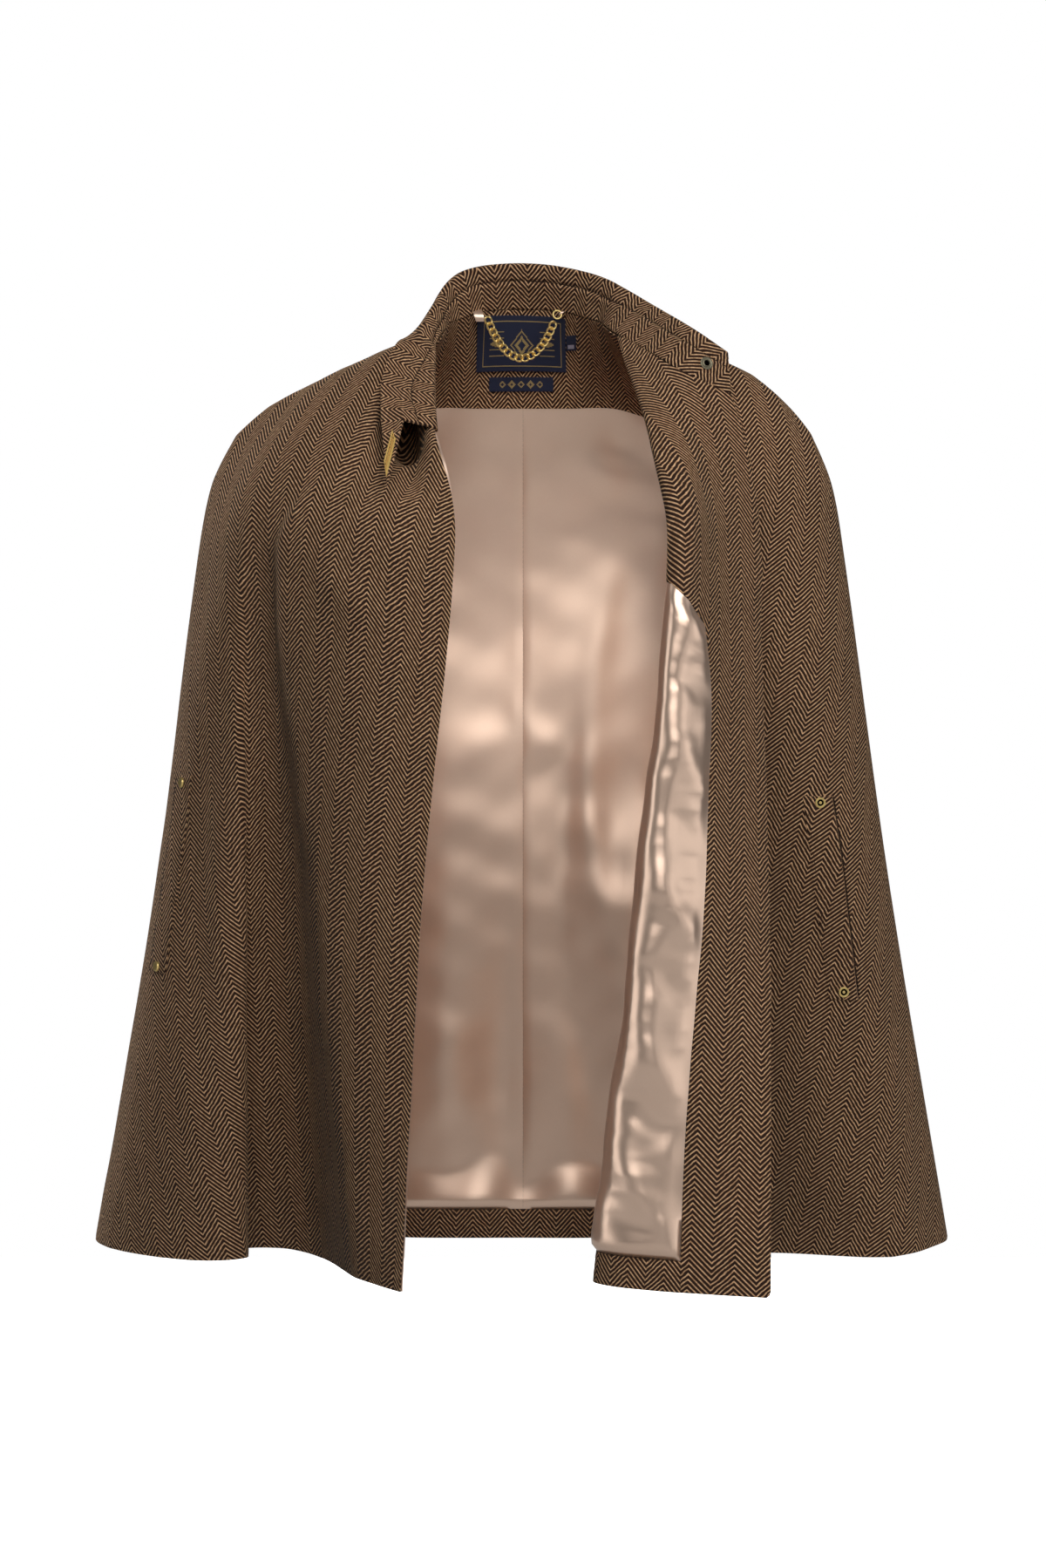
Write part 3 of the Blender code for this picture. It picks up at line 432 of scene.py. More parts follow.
FLAP_CREASES = (
    Crease(120, -250, 142, -300, 7, 2.6),
    Crease(116, -300, 146, -330, 8, -2.4),
    Crease(112, -330, 140, -410, 9, 3.0),
    Crease(108, -395, 138, -450, 8, -2.6),
    Crease(100, -440, 134, -520, 10, 3.2),
    Crease(96, -520, 128, -560, 8, -2.6),
    Crease(84, -545, 122, -640, 11, 3.0),
    Crease(76, -620, 118, -660, 9, -2.8),
    Crease(70, -655, 112, -735, 11, 3.0),
)


def slopes_of(points, before, after):
    """Slope at each point of a smooth line, per unit of chord."""
    chain = [before] + list(points) + [after]
    slopes = []
    for i in range(1, len(chain) - 1):
        run = (chain[i] - chain[i - 1]).length + (chain[i + 1] - chain[i]).length
        slopes.append((chain[i + 1] - chain[i - 1]) / run)
    return slopes


def on_line(points, slopes, k, f):
    """Point and direction at share f of piece k of a smooth line."""
    step = (points[k + 1] - points[k]).length
    a = points[k]
    b = points[k + 1]
    m = slopes[k] * step
    n = slopes[k + 1] * step
    g = f * f
    h = g * f
    place = a * (2 * h - 3 * g + 1) + m * (h - 2 * g + f) + b * (3 * g - 2 * h) + n * (h - g)
    heading = a * (6 * g - 6 * f) + m * (3 * g - 4 * f + 1) + b * (6 * f - 6 * g) + n * (3 * g - 2 * f)
    return place, heading


def rib_point(rib, ring, f):
    """Point of a fold line between two of its rings."""
    points = [Vector(rib.top), Vector(rib.upper), Vector(rib.chest), Vector(rib.hem)]
    waist = points[2].lerp(points[3], WAIST) + Vector((*rib.waist, 0))
    points.insert(3, waist)
    mirrored = Vector((rib.upper[0], 2 * rib.top[1] - rib.upper[1], rib.upper[2]))
    before = (points[0] * 2 - points[1]).lerp(mirrored, rib.over)
    after = points[4] * 2 - points[3]
    slopes = slopes_of(points, before, after)
    return on_line(points, slopes, ring, f)[0]


def level_line(ribs, first, last, ring, f, fine=10):
    """Dense level line across the fold lines: places, headings, run, rib runs."""
    points = [rib_point(rib, ring, f) for rib in ribs]
    before = rib_point(first, ring, f) if first else points[0] * 2 - points[1]
    after = rib_point(last, ring, f) if last else points[-1] * 2 - points[-2]
    slopes = [slope / max(slope.length, 0.45) for slope in slopes_of(points, before, after)]
    arrive = list(slopes)
    corner = [i for i, rib in enumerate(ribs) if rib.name == "roll_apex"]
    if corner and ring == 0:
        c = corner[0]
        sharp = max(1 - 4 * f, 0.0)
        arrive[c] = slopes[c].lerp((points[c] - points[c - 1]).normalized(), sharp)
        slopes[c] = slopes[c].lerp((points[c + 1] - points[c]).normalized(), sharp)
    places = []
    headings = []
    runs = []
    marks = []
    total = 0.0
    for k in range(len(points) - 1):
        for i in range(fine + (k == len(points) - 2)):
            place, heading = on_line(points, slopes[:k + 1] + arrive[k + 1:], k, i / fine)
            if places:
                total += (place - places[-1]).length
            if i == 0:
                marks.append(total)
            places.append(place)
            headings.append(heading)
            runs.append(total)
    marks.append(total)
    return places, headings, runs, marks


def pick(line, at):
    """Place and heading at a run along a dense level line."""
    places, headings, runs, _ = line
    i = 0
    while i < len(runs) - 2 and runs[i + 1] < at:
        i += 1
    share = (at - runs[i]) / max(runs[i + 1] - runs[i], 1e-9)
    share = min(max(share, 0.0), 1.0)
    return places[i].lerp(places[i + 1], share), headings[i].lerp(headings[i + 1], share)


def steps_between(anchors):
    """Column runs from anchors given as (run, columns up to it)."""
    runs = [anchors[0][0]]
    for (start, _), (end, count) in zip(anchors, anchors[1:]):
        for i in range(count):
            runs.append(start + (end - start) * (i + 1) / count)
    return runs


def facing_width(level):
    """Width of the left front facing at a level (ring plus share)."""
    for (a, wide), (b, narrow) in zip(LEFT_FACING_WIDTH, LEFT_FACING_WIDTH[1:]):
        if level <= b:
            return wide + (narrow - wide) * (level - a) / (b - a)
    return LEFT_FACING_WIDTH[-1][1]


def column_index(columns, name):
    """Number of the grid column that runs along a named line."""
    total = 0
    for line, count in columns:
        total += count
        if line == name:
            return total
    raise KeyError(name)


def anchor_runs(side, columns, ribs, line, level):
    """Runs of the named lines along one level line."""
    named = dict(zip([rib.name for rib in ribs], line[3]))
    if side != "back":
        if side == "right":
            named["facing"] = min(RIGHT_FACING_WIDTH, FACING_SHARE * named["fold_crest"])
        else:
            named["facing"] = min(facing_width(level), named["roll_front"] - FACING_CLEAR)
        named["welt"] = named["arm_slit"] - WELT_WIDTH
        named["slit_back"] = named["arm_slit"] + SLIT_WIDTH
    return [(named[name], count) for name, count in columns]


Panel = namedtuple("Panel", "side ribs columns first last")
PANELS = {
    "right": Panel("right", RIGHT_RIBS, RIGHT_COLUMNS, None, BACK_RIBS[1]),
    "left": Panel("left", LEFT_RIBS, LEFT_COLUMNS, None, BACK_RIBS[-2]),
    "back": Panel("back", BACK_RIBS, BACK_COLUMNS, RIGHT_RIBS[-2], LEFT_RIBS[-2]),
}


def level_columns(panel, ring, f):
    """Places and headings of every column of a panel on one level line."""
    line = level_line(panel.ribs, panel.first, panel.last, ring, f)
    runs = steps_between(anchor_runs(panel.side, panel.columns, panel.ribs, line, ring + f))
    return [pick(line, run) for run in runs]


def lay_on_seam(row, faces, columns, side):
    """Put the part of a top row between neck and tip on the shoulder seam."""
    panel = PANELS[side]
    line = level_line(panel.ribs, panel.first, panel.last, 0, 0.0)
    start = line[3][0] if side == "right" else line[3][3]
    end = line[3][-1]
    runs = [0.0]
    for a, b in zip(columns, columns[1:]):
        runs.append(runs[-1] + (row[b] - row[a]).length)
    for column, run in zip(columns, runs):
        at = start + (end - start) * run / runs[-1]
        ahead = pick(line, min(at, end - 0.5))[1]
        row[column] = pick(line, at)[0]
        face = Vector((-ahead.z, 0, ahead.x))
        faces[column] = face.normalized() * (1 if face.z > 0 else -1)


def panel_grid(panel):
    """Grid of places and of outward directions for one panel."""
    places = []
    outward = []
    turn = -1.0 if panel.side == "left" else 1.0
    for ring, f in UPPER_ROWS + SLIT_ROWS[panel.side] + LOWER_ROWS:
        here = level_columns(panel, ring, f)
        reach = 0.02 if ring < 2 else 0.01
        above = level_columns(panel, ring, max(f - reach, 0.0))
        below = level_columns(panel, ring, min(f + reach, 1.0))
        places.append([item[0] for item in here])
        row = []
        for (_, across), (high, _), (low, _) in zip(here, above, below):
            down = low - high
            face = across.cross(down) * turn
            weak = face.length < 0.12 * across.length * down.length
            row.append(None if weak else face.normalized())
        outward.append(row)
    rows = len(places)
    for r in range(rows - 1, -1, -1):
        for c, face in enumerate(outward[r]):
            if face is None:
                outward[r][c] = outward[r + 1][c] if r + 1 < rows else outward[r - 1][c]
    last = len(places[0]) - 1
    if panel.side == "back":
        neck = column_index(panel.columns, "right_neck")
        lay_on_seam(places[0], outward[0], list(range(neck, -1, -1)), "right")
        neck = column_index(panel.columns, "left_neck")
        lay_on_seam(places[0], outward[0], list(range(neck, last + 1)), "left")
    else:
        neck = 0 if panel.side == "right" else column_index(panel.columns, "roll_apex")
        lay_on_seam(places[0], outward[0], list(range(neck, last + 1)), panel.side)
        if panel.side == "left":
            face = outward[0][neck] + outward[1][neck] * 6
            outward[0][neck] = Vector((face.x, 0, face.z)).normalized()
    return places, outward


def smooth_row(points, steps):
    """Points along a smooth line, with steps pieces between each two."""
    slopes = slopes_of(points, points[0] * 2 - points[1], points[-1] * 2 - points[-2])
    row = []
    for k in range(len(points) - 1):
        for i in range(steps + (k == len(points) - 2)):
            row.append(on_line(points, slopes, k, i / steps)[0])
    return row


def neck_frames(grids):
    """Neck seam from the right front edge to the left: run, point, away, up."""
    spots = []
    places, outward = grids["right"]
    for r in range(NECK_FACING_ROW, 0, -1):
        spots.append((places[r][0], places[r][1], outward[r][0]))
    ends = [len(spots)]
    places, outward = grids["back"]
    for c in range(column_index(BACK_COLUMNS, "right_neck"), column_index(BACK_COLUMNS, "left_neck") + 1):
        spots.append((places[0][c], places[1][c], outward[0][c]))
    ends.append(len(spots) - 1)
    places, outward = grids["left"]
    for c in range(column_index(LEFT_COLUMNS, "roll_apex") - 1, -1, -1):
        spots.append((places[0][c], places[1][c], outward[0][c]))
    frames = []
    run = 0.0
    for i, (spot, inside, face) in enumerate(spots):
        ahead = spots[min(i + 1, len(spots) - 1)][0] - spots[max(i - 1, 0)][0]
        run += (spot - spots[i - 1][0]).length if i else 0.0
        away = spot - inside
        away -= away.project(ahead)
        away -= away.project(face)
        frames.append((run, spot, away.normalized(), face))
    marks = {"right": (0.0, frames[ends[0]][0]), "back": (frames[ends[0]][0], frames[ends[1]][0]),
             "left": (frames[ends[1]][0], frames[-1][0])}
    return frames, marks


def neck_frame(frames, at):
    """Point, away and up at a run along the neck seam."""
    i = 0
    while i < len(frames) - 2 and frames[i + 1][0] < at:
        i += 1
    a = frames[i]
    b = frames[i + 1]
    f = min(max((at - a[0]) / (b[0] - a[0]), 0.0), 1.0)
    return a[1].lerp(b[1], f), a[2].lerp(b[2], f).normalized(), a[3].lerp(b[3], f).normalized()


def collar_profile(seam, away, up, fold, edge):
    """Points of the collar from the neck seam over the fold to its edge."""
    rise = (fold - seam).normalized()
    fall = (edge - fold).normalized()
    lean = min(max(0.5 - rise.dot(away), 0.0), 1.0)
    start = seam + away * COLLAR_SET
    step = rise.lerp(up, lean).normalized()
    foot = start + step * COLLAR_FOOT
    out = fall - fall.project(rise)
    out.normalize()
    turn = (1 - rise.dot(fall)) / 2
    wide = FOLD_ROUND * turn
    stand_end = fold - rise * FOLD_ROUND * 1.2 - out * turn
    crown_in = fold - rise * 1.5 * (1 - turn) - out * 0.2 * turn
    crown_out = fold + fall * 1.5 * (1 - turn) + out * wide
    fall_start = fold + fall * FOLD_ROUND * 1.4 + out * wide
    stand = foot.lerp(stand_end, 0.5) - out * 0.6 * turn
    fall_middle = fall_start.lerp(edge, 0.5) + out * 1.2 * turn
    return [start, foot, stand, stand_end, crown_in, crown_out, fall_start, fall_middle, edge]


def collar_grid(grids):
    """Grid of collar places, stations by profile."""
    frames, marks = neck_frames(grids)
    runs = [marks[s.seam][0] + (marks[s.seam][1] - marks[s.seam][0]) * s.share for s in COLLAR_STATIONS]
    folds = smooth_row([Vector(s.fold) for s in COLLAR_STATIONS], COLLAR_STEPS)
    edges = smooth_row([Vector(s.edge) for s in COLLAR_STATIONS], COLLAR_STEPS)
    places = []
    for i, (fold, edge) in enumerate(zip(folds, edges)):
        k = min(i // COLLAR_STEPS, len(runs) - 2)
        at = runs[k] + (runs[k + 1] - runs[k]) * (i - k * COLLAR_STEPS) / COLLAR_STEPS
        seam, away, up = neck_frame(frames, at)
        places.append(smooth_row(collar_profile(seam, away, up, fold, edge), 2))
    return places


def array_of(rows):
    """Number array of a grid of vectors."""
    return np.array([[tuple(spot) for spot in row] for row in rows])


def unit(vectors):
    """Vectors of an array at length one."""
    return vectors / np.maximum(np.linalg.norm(vectors, axis=-1, keepdims=True), 1e-9)


def spans(places, axis):
    """Distances between neighbours along one axis of a grid or line."""
    return np.linalg.norm(np.diff(places, axis=axis), axis=-1)


def runs_along(places, axis=0):
    """Distances from the first point along one axis of a grid or line."""
    return np.insert(np.cumsum(spans(places, axis), axis=axis), 0, 0.0, axis=axis)


def along_line(at, run, values):
    """Values at a distance along a line."""
    return np.array([np.interp(at, run, values[:, k]) for k in range(3)])


def face_of(places):
    """Directions square to a grid at its points."""
    return unit(np.cross(np.gradient(places, axis=1), np.gradient(places, axis=0)))


# The four corners of all the cells of a grid, in order round a cell.
CORNERS = (np.s_[:-1, :-1], np.s_[:-1, 1:], np.s_[1:, 1:], np.s_[1:, :-1])


def refine(points, steps, axis):
    """Smooth points along one axis of a grid, with steps[k] pieces in stretch k."""
    p = np.moveaxis(points, axis, 0)
    chain = np.concatenate([2 * p[:1] - p[1:2], p, 2 * p[-1:] - p[-2:-1]])
    chord = np.linalg.norm(chain[1:] - chain[:-1], axis=-1, keepdims=True)
    slope = (chain[2:] - chain[:-2]) / np.maximum(chord[1:] + chord[:-1], 1e-9)
    rows = []
    for k, count in enumerate(steps):
        m = slope[k] * chord[k + 1]
        n = slope[k + 1] * chord[k + 1]
        for i in range(count):
            f = i / count
            g = f * f
            h = g * f
            start = p[k] * (2 * h - 3 * g + 1) + m * (h - 2 * g + f)
            rows.append(start + p[k + 1] * (3 * g - 2 * h) + n * (h - g))
    rows.append(p[-1])
    return np.moveaxis(np.array(rows), 0, axis)


def spread_out(values, steps, axis):
    """Straight steps between the values of a grid along one axis."""
    p = np.moveaxis(values, axis, 0)
    rows = [p[k] + (p[k + 1] - p[k]) * i / count for k, count in enumerate(steps) for i in range(count)]
    rows.append(p[-1])
    return np.moveaxis(np.array(rows), 0, axis)


def cell_steps(places, axis, cell):
    """Pieces to cut each stretch of a grid into, for cells of about one size."""
    p = np.moveaxis(places, axis, 0)
    longest = np.quantile(spans(p, 0), 0.9, axis=1)
    return [max(1, int(round(length / cell))) for length in longest]


def lay_flat(places, grain_column, ends=(BREAK_ROW, HEM_ROW), rounds=3000):
    """Flat pattern of a panel: its cut coordinates in mm, grain along one column.

    The columns are rolled out one by one, then every cell pulls its corners
    to its own shape until the whole lies even.
    """
    p = places
    rows, columns = p.shape[:2]
    flat = np.zeros((rows, columns, 2))
    flat[:, grain_column, 1] = -runs_along(p[:, grain_column])
    for way in (1, -1):
        c = grain_column
        while 0 <= c + way < columns:
            along = unit(np.gradient(p[:, c], axis=0))
            run = unit(np.gradient(flat[:, c], axis=0))
            step = p[:, c + way] - p[:, c]
            ahead = (step * along).sum(1)
            aside = np.sqrt(np.maximum((step ** 2).sum(1) - ahead ** 2, 0))
            square = np.stack([-run[:, 1], run[:, 0]], axis=1) * way
            flat[:, c + way] = flat[:, c] + run * ahead[:, None] + square * aside[:, None]
            c += way
    spots = np.stack([p[corner] for corner in CORNERS])
    spots = spots - spots.mean(0)
    ahead = unit(spots[1] + spots[2] - spots[0] - spots[3])
    face = np.cross(ahead, spots[2] + spots[3] - spots[0] - spots[1])
    below = unit(np.cross(face, ahead))
    shape = (spots * ahead).sum(-1) - 1j * (spots * below).sum(-1)
    weight = np.linalg.norm(face, axis=-1) + 1.0
    share = np.zeros((rows, columns))
    for corner in CORNERS:
        share[corner] += weight
    spread = flat[..., 0] + 1j * flat[..., 1]
    for _ in range(rounds):
        here = np.stack([spread[corner] for corner in CORNERS])
        middle = here.mean(0)
        turn = (np.conj(shape) * (here - middle)).sum(0)
        goal = (middle + turn / np.maximum(np.abs(turn), 1e-9) * shape) * weight
        total = np.zeros((rows, columns), complex)
        for corner, part in zip(CORNERS, goal):
            total[corner] += part
        spread = total / share
    flat = np.stack([spread.real, spread.imag], axis=-1)
    top = flat[ends[0], grain_column]
    lean = flat[ends[1], grain_column] - top
    angle = math.atan2(lean[0], -lean[1])
    turn = np.array([[math.cos(angle), math.sin(angle)], [-math.sin(angle), math.cos(angle)]])
    return (flat - top) @ turn.T


Cloth = namedtuple("Cloth", "places outward grain down across")


def make_cloth(places, outward, grain, cell, close=()):
    """Fine grid of a panel with its cut coordinates, closer in some columns."""
    down = cell_steps(places, 0, cell)
    across = [max(steps, 2) * (2 if c in close else 1) for c, steps in enumerate(cell_steps(places, 1, cell))]
    fine = refine(refine(places, down, 0), across, 1)
    faces = unit(spread_out(spread_out(outward, down, 0), across, 1))
    cut = refine(refine(grain, down, 0), across, 1)
    return Cloth(fine, faces, cut, down, across)


def ripple(grain, seed, size, high):
    """Soft unevenness of cloth: slow waves that cross at uneven angles."""
    rng = np.random.default_rng(seed)
    total = np.zeros(grain.shape[:2])
    for _ in range(RIPPLE_WAVES):
        angle = rng.uniform(0, math.pi)
        wave = size * rng.uniform(0.7, 1.6)
        phase = rng.uniform(0, 2 * math.pi)
        along = grain[..., 0] * math.cos(angle) + grain[..., 1] * math.sin(angle)
        total += np.sin(along * 2 * math.pi / wave + phase)
    return total / RIPPLE_WAVES * 2 * high


def ease(share):
    """Share from 0 to 1 that starts and ends slowly."""
    return share * share * (3 - 2 * share)


def crease_field(places, creases):
    """Height of the listed creases over a grid."""
    total = np.zeros(places.shape[:2])
    for crease in creases:
        start = np.array((crease.x0, crease.z0))
        run = np.array((crease.x1, crease.z1)) - start
        length = np.linalg.norm(run)
        run = run / length
        spot = places[..., (0, 2)] - start
        along = spot @ run / length
        aside = spot @ np.array((-run[1], run[0]))
        bow = aside + CREASE_BOW * length * np.sin(along * math.pi)
        fade = ease(np.clip(CREASE_ENDS - np.abs(along - 0.5) * 2, 0, 1))
        lean = 1 + CREASE_LEAN * np.tanh(bow / crease.wide)
        total += crease.high * fade * lean * np.exp(-(bow / crease.wide) ** 2)
    return total


def seam_fade(places, calm, reach, first):
    """Share from 0 within calm of the sewn edges of a panel to 1 inside it."""
    far = np.minimum(runs_along(places), runs_along(places[:, ::-1], 1)[:, ::-1])
    if first:
        far = np.minimum(far, runs_along(places, 1))
    return ease(np.clip((far - calm) / reach, 0, 1))


def fine_mask(cloth, coarse):
    """Mask of the fine cells that lie in the given coarse cells."""
    return np.repeat(np.repeat(coarse, cloth.down, 0), cloth.across, 1)


def add_mesh(name, verts, faces, surface):
    """Smooth piece from points in millimetres and faces."""
    mesh = bpy.data.meshes.new(name)
    mesh.from_pydata((np.array(verts) * MM).tolist(), [], faces)
    mesh.shade_smooth()
    mesh.materials.append(surface)
    made = bpy.data.objects.new(name, mesh)
    bpy.context.scene.collection.objects.link(made)
    return made


def shell(name, cloth, mask, low, high, surface, inset=EDGE_INSET, edge=EDGE_THIN):
    """Thin closed piece of cloth over the masked cells, from low to high above the grid."""
    p = cloth.places
    n, m = p.shape[:2]
    middle = sum(p[corner] for corner in CORNERS) / 4
    count = np.zeros((n, m))
    total = np.zeros((n, m, 3))
    for corner in CORNERS:
        count[corner] += mask
        total[corner] += middle * mask[..., None]
    used = count > 0
    border = used & (count < 4)
    pull = total / np.maximum(count, 1)[..., None] - p
    pull -= cloth.outward * (pull * cloth.outward).sum(-1, keepdims=True)
    spots = np.where(border[..., None], p + unit(pull) * inset, p)
    thin = np.where(border, edge, 1.0)
    centre = (low + high) / 2 * np.ones((n, m))
    half = (high - low) / 2 * np.ones((n, m)) * thin
    upper = spots + cloth.outward * (centre + half)[..., None]
    lower = spots + cloth.outward * (centre - half)[..., None]
    order = np.full((n, m), -1)
    order[used] = np.arange(used.sum())
    above = int(used.sum())
    r, c = np.nonzero(mask)
    a = order[r, c]
    b = order[r, c + 1]
    d = order[r + 1, c]
    e = order[r + 1, c + 1]
    faces = [np.stack([a, d, e, b], 1), np.stack([b, e, d, a], 1) + above]
    padded = np.pad(mask, 1)
    for rim, (dr, dc) in (((a, d), (0, -1)), ((d, e), (1, 0)), ((e, b), (0, 1)), ((b, a), (-1, 0))):
        bare = ~padded[r + 1 + dr, c + 1 + dc]
        start = rim[0][bare]
        end = rim[1][bare]
        faces.append(np.stack([end, start, start + above, end + above], 1))
    quads = np.concatenate(faces)
    i = len(r) // 2
    face = np.cross(upper[r[i] + 1, c[i]] - upper[r[i], c[i]], upper[r[i], c[i] + 1] - upper[r[i], c[i]])
    if face @ cloth.outward[r[i], c[i]] < 0:
        quads = quads[:, ::-1]
    made = add_mesh(name, np.concatenate([upper[used], lower[used]]), quads.tolist(), surface)
    made.data.set_sharp_from_angle(angle=SHARP_FOLD)
    grain = np.zeros((2 * above, 3))
    grain[:, :2] = np.concatenate([cloth.grain[used]] * 2) * MM
    kept = made.data.attributes.new("grain", "FLOAT_VECTOR", "POINT")
    kept.data.foreach_set("vector", grain.ravel())
    return made


def cloth_area(cloth, mask):
    """Area of the masked cells in square metres."""
    p = cloth.places
    first = np.cross(p[1:, :-1] - p[:-1, :-1], p[:-1, 1:] - p[:-1, :-1])
    second = np.cross(p[1:, :-1] - p[1:, 1:], p[:-1, 1:] - p[1:, 1:])
    size = (np.linalg.norm(first, axis=-1) + np.linalg.norm(second, axis=-1)) / 2
    return float(size[mask].sum()) * MM * MM


def declare_cloth(piece, node, cloth, mask):
    """Put a sheet in the place of its solid, and work out the size of the cut it was made from."""
    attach(piece, "root")
    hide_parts(node)
    area = cloth_area(cloth, mask)
    corners = np.zeros(cloth.places.shape[:2], bool)
    corners[:-1, :-1] |= mask
    corners[1:, 1:] |= mask
    cut = cloth.grain[corners]
    wide, long = (cut.max(0) - cut.min(0)) * MM
    if area < STRIP_SHARE * wide * long:
        long = math.hypot(wide, long)
        wide = area / long
    long = max(long, area / wide)


def link_node(tree, kind, inputs=(), **settings):
    """Shader node with its settings, and its inputs set or linked."""
    made = tree.nodes.new(kind)
    for key, value in settings.items():
        setattr(made, key, value)
    for socket, value in inputs:
        if isinstance(value, bpy.types.NodeSocket):
            tree.links.new(value, made.inputs[socket])
        else:
            made.inputs[socket].default_value = value
    return made


def reckon(tree, operation, *values):
    """Result of a math node."""
    return link_node(tree, "ShaderNodeMath", list(enumerate(values)), operation=operation).outputs[0]


def blank_material(name):
    """Material with its shader, ready for nodes."""
    made = bpy.data.materials.new(name)
    made.use_nodes = True
    return made, made.node_tree, made.node_tree.nodes["Principled BSDF"]


def colour_mix(tree, share, first, second):
    """Colour between two by a share."""
    inputs = [(0, share), (6, first), (7, second)]
    return link_node(tree, "ShaderNodeMix", inputs, data_type="RGBA").outputs[2]


def noise(tree, place, scale, detail):
    """Even noise over a place, from 0 to 1."""
    inputs = [("Vector", place), ("Scale", scale), ("Detail", detail)]
    return link_node(tree, "ShaderNodeTexNoise", inputs).outputs["Fac"]


def raise_surface(tree, shader, height, strength, depth):
    """Bump the surface of a shader by a height."""
    inputs = [("Height", height), ("Strength", strength), ("Distance", depth)]
    bump = link_node(tree, "ShaderNodeBump", inputs)
    tree.links.new(bump.outputs[0], shader.inputs["Normal"])


def set_finish(shader, values):
    """Set inputs of a shader by their names."""
    for socket, value in values.items():
        shader.inputs[socket].default_value = value


def tweed_material():
    """Herringbone wool: twill lines that turn at each stripe, flecked yarn, fuzz."""
    cloth = bpy.context.scene.cape_cloth
    made, tree, shader = blank_material("herringbone_tweed")
    grain = link_node(tree, "ShaderNodeAttribute", attribute_name="grain").outputs["Vector"]
    wander = noise(tree, grain, 140.0, 2.0)
    parts = link_node(tree, "ShaderNodeSeparateXYZ", [(0, grain)])
    sway = reckon(tree, "MULTIPLY", reckon(tree, "SUBTRACT", wander, 0.5), 0.0016)
    across = reckon(tree, "ADD", parts.outputs[0], sway)
    zigzag = reckon(tree, "PINGPONG", across, cloth.stripe_width)
    rise = reckon(tree, "MULTIPLY_ADD", zigzag, -cloth.twill_slope, parts.outputs[1])
    rise = reckon(tree, "ADD", rise, sway)
    wave = reckon(tree, "SINE", reckon(tree, "MULTIPLY", rise, 2 * math.pi / cloth.twill_pitch))
    line = link_node(tree, "ShaderNodeMapRange", [("Value", wave), ("From Min", 0.1), ("From Max", 0.9)],
                     interpolation_type="SMOOTHSTEP").outputs[0]
    yarn = noise(tree, grain, 1100.0, 1.0)
    fleck = noise(tree, grain, 330.0, 2.0)
    spotty = link_node(tree, "ShaderNodeMapRange", [("Value", fleck), ("From Min", 0.36), ("From Max", 0.64)])
    light = colour_mix(tree, spotty.outputs[0], (*cloth.tan_yarn, 1), (*cloth.pale_yarn, 1))
    dark = colour_mix(tree, noise(tree, grain, 26.0, 3.0), (*cloth.brown_yarn, 1), (*cloth.dark_yarn, 1))
    share = reckon(tree, "MULTIPLY", line, reckon(tree, "MULTIPLY_ADD", yarn, 1.1, 0.42))
    weave = colour_mix(tree, link_node(tree, "ShaderNodeClamp", [(0, share)]).outputs[0], dark, light)
    tree.links.new(weave, shader.inputs["Base Color"])
    raise_surface(tree, shader, reckon(tree, "MULTIPLY_ADD", yarn, 0.5, line), 0.55, 0.0005)
    set_finish(shader, {"Roughness": 0.9, "Specular IOR Level": 0.2, "Sheen Weight": 0.06,
                        "Sheen Roughness": 0.5, "Sheen Tint": (0.75, 0.6, 0.42, 1)})
    return made


def satin_material():
    """Champagne satin: smooth floats along the grain with a soft gloss."""
    cloth = bpy.context.scene.cape_cloth
    made, tree, shader = blank_material("champagne_satin")
    grain = link_node(tree, "ShaderNodeAttribute", attribute_name="grain").outputs["Vector"]
    long = link_node(tree, "ShaderNodeMapping", [("Vector", grain), ("Scale", (2600.0, 420.0, 1.0))])
    thread = noise(tree, long.outputs[0], 1.0, 1.0)
    broad = reckon(tree, "MULTIPLY", noise(tree, grain, 30.0, 3.0), 0.5)
    share = reckon(tree, "MULTIPLY_ADD", thread, 0.35, broad)
    colour = colour_mix(tree, share, (*cloth.satin_deep, 1), (*cloth.satin_pale, 1))
    tree.links.new(colour, shader.inputs["Base Color"])
    raise_surface(tree, shader, thread, 0.12, 0.0002)
    set_finish(shader, {"Roughness": 0.32, "Metallic": 0.7, "Specular IOR Level": 0.5, "Sheen Weight": 0.12,
                        "Sheen Tint": (1.0, 0.9, 0.82, 1)})
    return made


# Metals: colour, roughness, colour of the handling marks, share of metal.
METALS = {
    "gold_plate": ((1.0, 0.70, 0.27), 0.13, (0.80, 0.48, 0.13), 1.0),
    "bright_gold": ((1.0, 0.72, 0.25), 0.3, (0.95, 0.60, 0.16), 0.4),
    "antique_bronze": ((0.050, 0.034, 0.015), 0.5, (0.012, 0.009, 0.005), 1.0),
    # The last is no metal finish: near-black painted shade for the floors of the snap wells and the socket
    # hole.
    "painted_shade_well": ((0.003, 0.0025, 0.002), 0.8, (0.002, 0.0015, 0.001), 1.0),
}


def metal_material(name, colour, roughness, tarnish, metallic):
    """Plated metal with faint handling marks."""
    made, tree, shader = blank_material(name)
    marks = noise(tree, link_node(tree, "ShaderNodeTexCoord").outputs["Object"], 420.0, 4.0)
    tree.links.new(colour_mix(tree, marks, (*colour, 1), (*tarnish, 1)), shader.inputs["Base Color"])
    rough = link_node(tree, "ShaderNodeMapRange",
                      [("Value", marks), ("To Min", roughness * 0.7), ("To Max", roughness * 1.4)])
    tree.links.new(rough.outputs[0], shader.inputs["Roughness"])
    set_finish(shader, {"Metallic": metallic})
    return made


